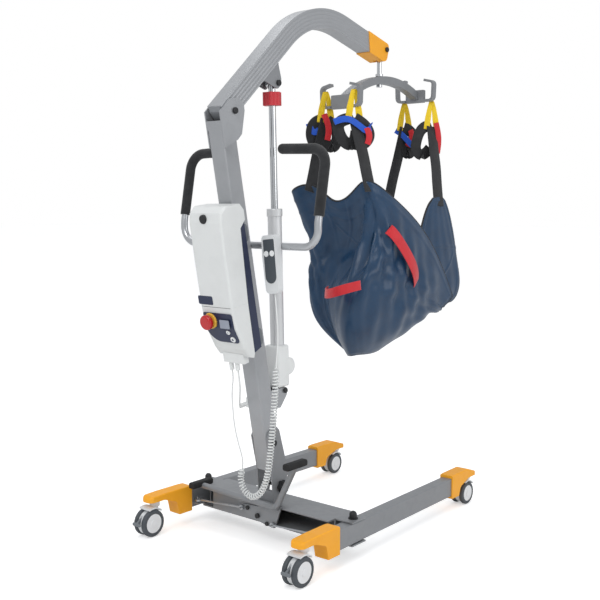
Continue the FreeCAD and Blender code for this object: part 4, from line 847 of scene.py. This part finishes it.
@dataclass
class Sling:
    """Padded nylon seat hung on four straps, with leg flaps, edge binding and lifting handles.

    Attributes:
        thick: thickness of the quilted cloth, in millimetres.
        binding: radius of the rolled edge binding.
        web: width of the hanging straps.
        hook_x: how far the straps hang from the middle plane.
        hook_top: height of the hooks' seats.
        hook_y: where the rear and the front hooks are.
        keep_low: share of the sling's height that is left when the boom is right down; not used.
        facing: direction across the webbing where it hangs flat.
        stitch_box: corners of the box stitching under a strap, in rows and columns of the flap's grid.
        parts: the finished pieces.
    """

    thick: float = 7.0
    binding: float = 4.0
    web: float = 54.0
    hook_x: float = 68.0
    hook_top: float = 1640.0
    hook_y: tuple[float, float] = (151.0, 702.0)
    keep_low: float = 0.68
    stitch_box: tuple = ((10, 29), (24, 51))
    facing: Point = (0.62, 0.78, 0.0)
    parts: list = field(default_factory=list)

    # Near side of the seat, from the shoulder forwards, one row for each level from the top edge down.
    side_net: tuple = (
        ((172, 230, 1258), (172, 380, 1182), (170, 525, 1088), (165, 640, 966), (155, 752, 822)),
        ((182, 232, 1180), (186, 370, 1092), (181, 500, 990), (172, 612, 890), (150, 722, 792)),
        ((187, 240, 1085), (193, 350, 1000), (189, 470, 905), (175, 590, 832), (140, 702, 776)),
        ((189, 200, 985), (196, 320, 910), (186, 440, 832), (165, 560, 782), (125, 690, 764)),
        ((178, 150, 890), (186, 290, 820), (172, 420, 756), (140, 540, 736), (95, 682, 760)),
        ((148, 128, 738), (152, 262, 690), (136, 400, 668), (100, 520, 694), (60, 682, 758)),
        ((52, 262, 620), (48, 340, 618), (30, 430, 632), (8, 566, 690), (0, 700, 765)),
    )
    # Back of the seat, from the far corner to the near shoulder.
    back_net: tuple = (
        ((-180, 14, 1246), (-75, 86, 1318), (-14, 130, 1200), (62, 152, 1248), (150, 112, 1324)),
        ((-166, 56, 1176), (-80, 130, 1196), (0, 176, 1150), (72, 192, 1168), (152, 150, 1221)),
        ((-150, 122, 1099), (-90, 184, 1095), (0, 218, 1080), (82, 214, 1090), (150, 176, 1124)),
        ((-130, 165, 1004), (-80, 218, 1012), (0, 232, 1004), (92, 196, 1006), (152, 118, 1012)),
        ((-118, 190, 915), (-58, 166, 905), (14, 118, 900), (88, 72, 905), (146, 50, 915)),
        ((-104, 204, 762), (-52, 150, 748), (8, 92, 742), (74, 50, 745), (124, 40, 752)),
        ((-30, 262, 622), (-12, 226, 616), (10, 206, 616), (34, 190, 620), (46, 214, 624)),
    )
    # Leg flap, from its rounded top down to the seat.
    flap_net: tuple = (
        ((130, 634, 1240), (130, 652, 1246), (130, 680, 1246), (130, 698, 1240)),
        ((130, 588, 1224), (133, 634, 1228), (133, 692, 1228), (130, 734, 1224)),
        ((128, 540, 1120), (138, 630, 1130), (137, 716, 1126), (126, 790, 1112)),
        ((122, 500, 1000), (136, 620, 1000), (135, 752, 992), (120, 842, 985)),
        ((112, 470, 880), (130, 620, 880), (127, 770, 880), (112, 888, 873)),
        ((100, 470, 800), (114, 600, 792), (111, 752, 800), (104, 876, 800)),
        ((80, 480, 745), (92, 590, 742), (86, 722, 768), (92, 850, 785)),
    )

    def keep(self, obj: bpy.types.Object) -> bpy.types.Object:
        """Hang a finished piece from the spreader, with a mesh of its own.

        Args:
            obj: the piece.

        Returns:
            The same piece.
        """
        ride(obj, "spreader")
        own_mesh(obj)
        self.parts.append(obj)
        return obj

    @staticmethod
    def normals(grid: np.ndarray) -> np.ndarray:
        """Unit normals of a grid of points: the cross product of its two directions."""
        return normalised(np.cross(np.gradient(grid, axis=1), np.gradient(grid, axis=0)))

    @staticmethod
    def groove(distance: np.ndarray, width: float) -> np.ndarray:
        """Soft groove of unit depth: exp(-(d / w)^2)."""
        return np.exp(-(distance / width) ** 2)

    @staticmethod
    def tuck_line(u: np.ndarray) -> np.ndarray:
        """Where the near panel laps over the back: v = 0.668 - 0.085 u."""
        return 0.668 - 0.085 * u

    def tuck(self, u: np.ndarray, v: np.ndarray) -> np.ndarray:
        """Lap of the near panel over the back: a step of tanh(d) beside a valley of exp(-(d / w)^2).

        Args:
            u: share of the way down the seat.
            v: share of the way round it.

        Returns:
            Height over the smooth sheet, in millimetres.
        """
        away = v - self.tuck_line(u)
        window = np.clip((u - 0.07) * 9, 0, 1) * np.clip((0.72 - u) * 6, 0, 1)
        step = 9.0 * (1 + np.tanh(away / 0.005)) * np.exp(-(np.clip(away, 0, 1) / 0.06) ** 2)
        return window * (step - 30.0 * self.groove(away + 0.02, 0.018))

    def seat_grid(self) -> np.ndarray:
        """The seat as one sheet round its far side, back and near side, from top edge to keel.

        Soft folds are waves across the sheet, A(u, v) sin(k v + c u + d), strongest low on the near side
        and fanning out from the near shoulder; quilting is a few grooves along lines of u and v.

        Returns:
            (rows, columns, 3) places in millimetres.
        """
        near = np.array(self.side_net, dtype=float)
        far = near[:, ::-1] * np.array([-1.0, 1.0, 1.0])
        net = np.concatenate([far, np.array(self.back_net, dtype=float), near], axis=1)
        rows, columns = 110, 250
        grid = b_spline(net, rows, columns)
        u = np.linspace(0, 1, rows)[:, None]
        v = np.linspace(0, 1, columns)[None, :]
        # 0 at the top edge and the keel and 1 between them; 1 on the sides and 0 on the back.
        rise = np.clip(u * 4, 0, 1) * np.clip((1 - u) * 3, 0, 1)
        side = 1 / (1 + np.exp(-(np.abs(v - 0.5) - 0.17) * 40))
        # Broad folds, narrower ones and slanting ones, in millimetres, then those from the near shoulder.
        folds = side * rise * (5.5 * np.sin(70 * v + 9 * u) + 3.5 * np.sin(118 * v - 13 * u + 1.0)
                               + 2.0 * np.sin(40 * u + 52 * v))
        fan = 1 / (1 + np.exp(-(v - 0.585) * 55)) * np.exp(-((v - 0.66) / 0.08) ** 2)
        folds += 6.0 * rise * fan * np.sin(34 * (v - 0.6) / (u + 0.22))
        # The back hangs slack low down, and is quilted high up, with its seams as grooves in the wadding.
        slack = (1 - side) * rise * (4.5 * np.sin(26 * u + 20 * v) * np.clip(u * 1.6, 0, 1)
                                     + 2.0 * np.sin(90 * v + 18 * u))
        quilt = (1 - side) * np.clip(1.4 - 2.6 * u, 0, 1)
        seams = (self.groove(u - 0.10, 0.008) + self.groove(v - 0.40 - 0.45 * u, 0.004)
                 + self.groove(v - 0.56 + 0.18 * u, 0.004) + 0.7 * self.groove(v - 0.455, 0.004))
        crest = 3.2 * quilt * (1 - np.clip(seams, 0, 1))
        hem = -2.2 * self.groove(u - 0.035, 0.008)
        height = folds + slack + crest + hem + self.tuck(u, v)
        return grid + height[..., None] * self.normals(grid)

    def flap_grid(self, side: int, tall: float) -> np.ndarray:
        """Leg flap with a seam across and quilting below it.

        Args:
            side: 1 on the near side, -1 on the far side.
            tall: share of its full height over the seat.

        Returns:
            (rows, columns, 3) places in millimetres.
        """
        net = np.array(self.flap_net, dtype=float) * np.array([side, 1.0, 1.0])
        foot = self.flap_net[-1][0][2]
        net[..., 2] = foot + (net[..., 2] - foot) * tall
        rows, columns = 110, 80
        grid = b_spline(net, rows, columns)
        u = np.linspace(0, 1, rows)[:, None]
        v = np.linspace(0, 1, columns)[None, :]
        # The seam across, the slanting quilting below it and the stitched edge, as grooves.
        lower = np.clip((u - 0.44) * 12, 0, 1) * np.clip((0.97 - u) * 12, 0, 1)
        seams = (self.groove(u - 0.42, 0.010)
                 + lower * (self.groove(v - 0.15 - 1.3 * (u - 0.45), 0.018)
                            + self.groove(v - 0.9 + 1.3 * (u - 0.45), 0.018)))
        edge = self.groove(v - 0.055, 0.016) + self.groove(v - 0.945, 0.016) + self.groove(u - 0.05, 0.010)
        soft = 2.2 * np.sin(14 * u + 7 * v) * u + 1.6 * np.sin(31 * v - 9 * u) * u
        height = soft - 2.6 * np.clip(seams, 0, 1) - 1.6 * np.clip(edge, 0, 1)
        return grid + side * height[..., None] * self.normals(grid)

    def cloth(self, name: str, grid: np.ndarray) -> bpy.types.Object:
        """Quilted cloth of even thickness.

        Args:
            name: name of the piece.
            grid: (rows, columns, 3) places in millimetres.

        Returns:
            The new object.
        """
        obj = grid_object(name, places(grid.reshape(-1, 3)).reshape(grid.shape), NYLON)
        thicken = obj.modifiers.new("wadding", "SOLIDIFY")
        thicken.thickness, thicken.offset = self.thick * MM, 0.0
        return obj

    def bind(self, name: str, edge: np.ndarray) -> None:
        """Rolled binding along an edge in millimetres."""
        self.keep(sweep(name, resampled(places(edge), 220), circle(self.binding * MM, 10), PIPING,
                        np.array([1.0, 0.13, 0.3])))

    def thread(self, name: str, points: np.ndarray) -> None:
        """Raised sewing line over the cloth, a little over a millimetre thick so that it shows."""
        self.keep(sweep(name, places(points), circle(1.3 * MM, 6), PIPING, np.array([1.0, 0.17, 0.2])))

    def seat(self) -> None:
        """Seat sheet of padded cloth with its binding and top stitching."""
        grid = self.seat_grid()
        seat = self.cloth("sling_seat", grid)
        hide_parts("sling")
        self.keep(seat)
        self.bind("sling_top_binding", grid[0])
        near = self.normals(grid) * (self.thick / 2)
        self.thread("sling_top_stitching", (grid + near)[4, 2:-2])
        rows, columns = grid.shape[:2]
        down = np.linspace(0.05, 0.66, 60)
        level = (down * (rows - 1)).astype(int)
        lap = ((self.tuck_line(down) + 0.006) * (columns - 1)).astype(int)
        self.bind("sling_lap_binding", (grid + near)[level, lap])
        fold = grid[:, 0]
        self.bind("sling_front_binding", np.concatenate([fold, grid[::-1, -1]]))

    def flaps(self) -> None:
        """Both leg flaps: the near one hangs higher than the far one."""
        for name, side, tall in (("near", 1, 1.0), ("far", -1, 0.75)):
            grid = self.flap_grid(side, tall)
            flap = self.cloth(f"sling_flap_{name}", grid)
            self.keep(flap)
            outline = np.concatenate([grid[::-1, 0], grid[0, 1:-1], grid[:, -1], grid[-1, -2:0:-1]])
            self.bind(f"sling_flap_binding_{name}", outline)
            outer = grid + side * self.normals(grid) * (self.thick / 2 + 0.6)
            # A box with its diagonals, in rows and columns of the flap's grid.
            (top, left), (low, right) = self.stitch_box
            box = np.array([[top, left], [top, right], [low, right], [low, left], [top, left], [low, right],
                            [low, left], [top, right]])
            corners = np.concatenate([np.linspace(a, b, 12)[:-1] for a, b in zip(box[:-1], box[1:])])
            index = corners.round().astype(int)
            index = index[np.any(np.diff(index, axis=0, prepend=-1) != 0, axis=1)]
            self.thread(f"sling_box_stitching_{name}", outer[index[:, 0], index[:, 1]])

    def web_strip(self, name: str, points: Sequence[Point], width: float, finish: Finish, reference: Point,
                  thick: float = 2.4, narrow: float = 1.0) -> bpy.types.Object:
        """Webbing along a route.

        Args:
            name: name of the piece.
            points: control points in millimetres.
            width: width of the webbing in millimetres.
            finish: what it is made of.
            reference: direction that its width follows.
            thick: its thickness in millimetres.
            narrow: its width at the middle, as a share of the width at its ends.

        Returns:
            The new object.
        """
        line = resampled(smooth_path(places(points)), 48)
        share = np.linspace(-1, 1, len(line))
        scale = narrow + (1 - narrow) * np.clip(np.abs(share) * 1.6, 0, 1)
        section = rounded_rectangle(width * MM, thick * MM, thick * MM * 0.45, 3)
        return self.keep(sweep(name, line, section, finish, np.array(reference, dtype=float), scale))

    def strap(self, name: str, side: int, end: int, foot: Point, folds: Sequence[Sequence[Point]]) -> None:
        """One hanging strap: yellow loop on the hook, spare loops, a folded bundle and the long web.

        Args:
            name: name of the strap.
            side: 1 on the near side, -1 on the far side.
            end: 0 at the rear hooks, 1 at the front ones.
            foot: where the web is sewn to the seat.
            folds: routes of the folded webbing, from the hook, in millimetres.
        """
        x, y, z = side * self.hook_x, self.hook_y[end], self.hook_top
        facing = self.facing

        def near(points: Sequence[Point]) -> list[Point]:
            """Route given from the hook, in the hoist's own millimetres."""
            return [(x + a, y + b, z + c) for a, b, c in points]

        self.web_strip(f"{name}_yellow_loop",
                       near([(-8, -22, -112), (-6, -17, -70), (-2, -9, -24), (0, -2, 5), (2, 5, 5),
                             (6, 12, -24), (10, 18, -70), (14, 24, -118)]), 26, WEB_YELLOW, facing, 2.0, 0.6)
        for number, fold in enumerate(folds):
            self.web_strip(f"{name}_fold_{number}", near(fold), 46, WEB_BLACK, (0.55, 0.83, 0.1), 4.6)
        top = np.array([x + 2, y + 2, z - 100.0])
        end_point = np.array(foot, dtype=float)
        # The web bows out a little at its middle.
        middle = (top + end_point) / 2 + np.array([side * 4.0, 0.0, 0.0])
        self.web_strip(f"{name}_web", [top, top * 0.7 + end_point * 0.3, middle,
                                       top * 0.25 + end_point * 0.75, end_point], self.web, WEB_BLACK,
                       (0.25, 0.95, 0.0), 4.0)

    def straps(self) -> None:
        """The four straps with their bundles and coloured spare loops."""
        self.strap("strap_rear_far", -1, 0, (-84, 78, 1262), (
            ((0, 4, -96), (-22, -34, -104), (-32, -52, -150), (-22, -44, -196), (0, -14, -214), (8, 4, -170)),
            ((6, 6, -104), (22, 34, -122), (30, 44, -170), (18, 26, -214), (4, 6, -196))))
        self.strap("strap_rear_near", 1, 0, (150, 150, 1262), (
            ((0, 0, -100), (-26, -44, -108), (-34, -58, -140), (-20, -34, -196), (4, 4, -204), (8, 6, -150)),
            ((4, 2, -104), (26, 40, -124), (40, 56, -168), (20, 30, -206), (0, 0, -196))))
        self.strap("strap_front_far", -1, 1, (-112, 604, 1090), (
            ((0, 0, -96), (20, 24, -106), (30, 40, -150), (22, 30, -206), (4, 4, -214), (-4, -6, -160)),))
        self.strap("strap_front_near", 1, 1, (137, 662, 1206), (
            ((0, 0, -92), (-20, -34, -100), (-34, -56, -150), (-38, -62, -206), (-16, -28, -226),
             (-2, -4, -190)),))
        facing = self.facing
        spare = (
            ("blue_loop_rear_near", WEB_BLUE, ((40, 66, 1520), (72, 100, 1540), (92, 152, 1512),
                                               (110, 176, 1488),
                                                (122, 190, 1500), (116, 196, 1518)), (0.1, 0.2, 1.0)),
            ("blue_loop_rear_far", WEB_BLUE, ((-106, 96, 1524), (-100, 100, 1500), (-84, 112, 1486),
                                              (-76, 124, 1500)), (0.1, 0.2, 1.0)),
            ("blue_loop_front_far", WEB_BLUE, ((-92, 672, 1530), (-70, 686, 1516), (-44, 704, 1480),
                                               (-34, 716, 1462), (-40, 722, 1480)), (0.1, 0.2, 1.0)),
            ("red_loop_rear_far", WEB_RED, ((-66, 140, 1560), (-52, 146, 1530), (-48, 150, 1486),
                                            (-54, 146, 1460)), facing),
            ("red_loop_rear_near", WEB_RED, ((112, 176, 1502), (118, 180, 1486), (120, 184, 1462),
                                             (114, 178, 1440)), facing),
            ("red_loop_front_far", WEB_RED, ((-44, 716, 1532), (-38, 722, 1514), (-42, 718, 1486),
                                             (-54, 708, 1462)), facing),
            ("red_loop_front_near", WEB_RED, ((84, 716, 1556), (92, 722, 1520), (94, 726, 1470),
                                              (90, 720, 1428)), facing),
        )
        for name, finish, route, reference in spare:
            self.web_strip(name, route, 24, finish, reference, 2.4)

    def handles(self) -> None:
        """Red lifting handles on the near side and across the back."""
        self.web_strip("sling_handle_side", ((184, 222, 1120), (204, 228, 1108), (226, 300, 1018),
                                             (222, 368, 938), (192, 408, 902)), 46, WEB_RED,
                                             (0.05, 0.75, 0.95), 3.4)
        self.web_strip("sling_handle_back", ((0, 86, 884), (16, 38, 878), (76, -12, 882), (132, -22, 898),
                                             (166, 24, 912), (172, 60, 916)), 36, WEB_RED, (0.0, 0.1, 1.0),
                                             3.4)

    def build(self) -> None:
        """Make the whole sling."""
        self.seat()
        self.flaps()
        self.straps()
        self.handles()
        LOG.info("sling of %d pieces", len(self.parts))


# ---------------------------------------------------------------- control unit
@dataclass
class Controls:
    """Thin pieces set on the control unit and its hand control.

    Attributes:
        display: x, height along the mast, width and height of the display window.
        panel_depth: depth of the panel's face ahead of the mast's centre line.
        battery_depth: depth of the battery case's face.
        seam_w: height along the mast of the joint between the cases.
        seam_x: where the joint's shadow line begins and ends.
        plate: x, height along the mast, width and height of the bare plate.
        handset: x, face and top of the hand control.
        handset_tilt: how far it hangs out of the vertical, in radians.
        membrane: half width and height of its key membrane.
        membrane_drop: how far the membrane's top lies below the hand control's.
        corner: radius of the membrane's upper corners.
    """

    display: tuple[float, float, float, float] = (43.0, 494.0, 44.0, 30.0)
    panel_depth: float = -160.2
    battery_depth: float = -155.0
    seam_w: float = 549.3
    seam_x: tuple[float, float] = (-56.0, 76.0)
    plate: tuple[float, float, float, float] = (-35.0, 571.5, 68.0, 30.0)
    handset: tuple[float, float, float] = (131.0, -410.1, 1113.0)
    handset_tilt: float = math.radians(5.9)
    membrane: tuple[float, float] = (24.0, 148.0)
    membrane_drop: float = 14.0
    corner: float = 3.0

    def tile(self, name: str, box: tuple[float, float, float, float], depths: Sequence[float], radius: float,
             finish: Finish) -> bpy.types.Object:
        """Flat tile on the unit's front: a rounded rectangle carried through the given depths.

        Args:
            name: name of the piece.
            box: x, height along the mast, width and height, in millimetres.
            depths: depths ahead of the mast's centre line, from its back to its face.
            radius: radius of its corners.
            finish: what it is made of.

        Returns:
            The new object.
        """
        x, w, wide, tall = box
        path = np.array([on_mast(x, depth, w) for depth in depths])
        section = rounded_rectangle(wide * MM, tall * MM, radius * MM)
        return sweep(name, path, section, finish, np.array([1.0, 0.0, 0.0]))

    def key_membrane(self) -> bpy.types.Object:
        """Membrane of the hand control: flat on top and a half circle below, 0.6 mm proud of the face."""
        (x, y, z), (half, tall), tilt, corner = self.handset, self.membrane, self.handset_tilt, self.corner
        down = np.array([math.sin(tilt), 0.0, -math.cos(tilt)])
        middle = np.array([x, 0.0, z]) + down * (self.membrane_drop + tall / 2)
        path = np.array([place(middle[0], y - out, middle[2]) for out in (-0.3, 0.2, 0.6)])
        turn = np.linspace(-math.pi, 0.0, 25)
        round_end = np.stack([half * np.cos(turn), half * np.sin(turn) - tall / 2 + half], axis=1)
        top = np.array([[half, tall / 2 - corner], [half - corner, tall / 2], [corner - half, tall / 2],
                        [-half, tall / 2 - corner]])
        section = np.concatenate([round_end, top]) * MM
        return sweep("handset_membrane", path, section, MEMBRANE, np.array([-down[2], 0.0, down[0]]))

    def seam(self) -> bpy.types.Object:
        """Shadow line of the joint between the battery case and the case below it."""
        path = np.array([on_mast(x, self.battery_depth, self.seam_w) for x in np.linspace(*self.seam_x, 12)])
        return sweep("case_seam_painted_shadow", path, circle(0.7 * MM, 8), SHADOW_LINE_GREY, np.array([0.0, 0.0, 1.0]))

    def build(self) -> None:
        """Make the pieces."""
        panel, battery = self.panel_depth, self.battery_depth
        ride(self.tile("display_window", self.display, (panel, panel - 0.4, panel - 0.8), 3.0, DISPLAY),
             "mast")
        ride(self.key_membrane(), "mast")
        ride(self.tile("battery_plate", self.plate, (battery + 0.4, battery - 0.2, battery - 0.6), 5.0,
                       NAVY_PLASTIC), "battery")
        ride(self.seam(), "mast")


# ---------------------------------------------------------------- frame


@dataclass
class Frame:
    """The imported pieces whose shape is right, dressed in their finishes.

    Attributes:
        nodes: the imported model's objects by name.
        boom_pivot: depth and height on the mast of the boom's pivot, in millimetres.
        boom_rise: angle of the boom behind its bend, in radians.
        boom_turn: how far the bend turns it.
        boom_bend: radius of the bend, in millimetres.
        boom_corner: distance along the boom and above the pivot of the corner that the bend rounds.
        collar: x, depth and height on the mast of the stop button's collar.
        collar_reach: radius of the yellow round that collar, in metres.
        tail: from the boom's lowest and rearmost point to the middle of its tail plug, in metres.
        tail_reach: radius round that point that is grey, in metres.
        hub_share: share of a wheel's radius that is its light hub.
    """

    nodes: dict
    boom_pivot: tuple[float, float] = (36.0, 1174.6)
    boom_rise: float = math.radians(42.5)
    boom_turn: float = math.radians(57.0)
    boom_bend: float = 365.0
    boom_corner: tuple[float, float] = (589.5, 15.0)
    collar: tuple[float, float, float] = (-24.0, -160.8, 500.0)
    collar_reach: float = 0.0282
    tail: float = 0.03
    tail_reach: float = 0.11
    hub_share: float = 0.7

    def boom_paint(self) -> BentLines:
        """Coat of the boom, whose lines follow its bend."""
        along = np.array([0.0, math.cos(self.boom_rise), math.sin(self.boom_rise)])
        above = np.array([0.0, -along[2], along[1]])
        straight, offset = self.boom_corner
        back = straight - self.boom_bend * math.tan(self.boom_turn / 2)
        centre = on_mast(0.0, *self.boom_pivot) + MM * (back * along + (offset - self.boom_bend) * above)
        return BentLines(MAST_PAINT, tuple(centre), self.boom_rise, self.boom_rise - self.boom_turn)

    def boom_caps(self) -> TwoTone:
        """Orange cap on the boom's nose and a grey plug in its tail, the lowest and rearmost end."""
        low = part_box("boom_end_caps")[0]
        return TwoTone(ORANGE, "85888c", (0.0, low[1] + self.tail, low[2] + self.tail), self.tail_reach, 1.0)

    @staticmethod
    def button(colour: str, spot: Point, radius: float) -> TwoTone:
        """White push button with a coloured middle of a radius in metres at a spot on the mast."""
        return TwoTone(BUTTON_WHITE, colour, tuple(on_mast(*spot)), radius, 1.0)

    def finishes(self) -> dict[str, AnyFinish]:
        """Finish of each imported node.

        Returns:
            The finishes by the nodes' names.
        """
        found: dict[str, AnyFinish] = {
            "mast_tube": MAST_PAINT, "boom_tube": self.boom_paint(), "boom_end_caps": self.boom_caps(),
            "actuator_tube": ANODISED, "motor_case": MOTOR_WHITE, "rod_knob": RED_KNOB,
            "push_handle": HANDLE_STEEL, "handle_grips": FOAM, "control_backplate": NAVY_PLASTIC,
            "control_clamps": HOOD_GREY, "control_board": BOARD_GREEN, "handset_case": HANDSET_GREY,
            "control_panel": TwoTone(NAVY_PLASTIC, "f2c04a", tuple(on_mast(*self.collar)),
                                     self.collar_reach, 1.0),
            "stop_button": STOP_RED, "cable_plugs": CORD_WHITE, "pedal_pads": PAD_RUBBER,
            "panel_button_upper": self.button("9aa3ad", (44.0, -152.6, 461.8), 0.003),
            "panel_button_lower": self.button("2b3550", (53.0, -143.3, 434.8), 0.0045),
        }
        alike = {
            GREY_PAINT: ("cross_member", "mast_bracket", "pedal_lever", "boom_bracket", "spreader_bar",
                         "spreader_hooks"),
            CHROME: ("hanger_stem", "actuator_rod"),
            CASE_WHITE: ("control_case", "battery_case"),
            BUTTON_WHITE: ("handset_button_up", "handset_button_down"),
            BLACK_PLASTIC: ("actuator_drive", "lock_knob", "battery_pack", "battery_button", "base_bolts",
                            "rocker_bolts", "mast_bolts", "boom_bolts"),
        }
        found |= {name: finish for finish, names in alike.items() for name in names}
        for side in ("left", "right"):
            found[f"tie_rod_{side}"] = TUBE_STEEL
            found[f"leg_tube_{side}"] = GREY_PAINT
            found[f"rear_cap_{side}"] = found[f"front_cap_{side}"] = ORANGE
            found[f"brake_pedal_rear_{side}"] = HOOD_GREY
            for end in ("rear", "front"):
                found[f"caster_hood_{end}_{side}"] = HOOD_WHITE
                low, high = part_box(f"caster_wheels_{end}_{side}")
                found[f"caster_wheels_{end}_{side}"] = TwoTone(
                    TYRE, "e8e9ea", tuple((low + high) / 2), (high.z - low.z) / 2 * self.hub_share)
        return found

    def build(self) -> None:
        """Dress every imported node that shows."""
        found = self.finishes()
        for name, obj in self.nodes.items():
            if name in found:
                obj.data.materials.clear()
                obj.data.materials.append(PAINTS.get(found[name]))
        LOG.info("%d packed nodes dressed, left: %s", len(found), sorted(set(self.nodes) - set(found)))


def main() -> None:
    """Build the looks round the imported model."""
    logging.basicConfig(level=logging.INFO, format="%(name)s: %(message)s")
    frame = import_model()
    Studio().build()
    Cords(frame["nodes"]).build()
    Frame(frame["nodes"]).build()
    Sling().build()
    Controls().build()


if __name__ == "__main__":
    main()
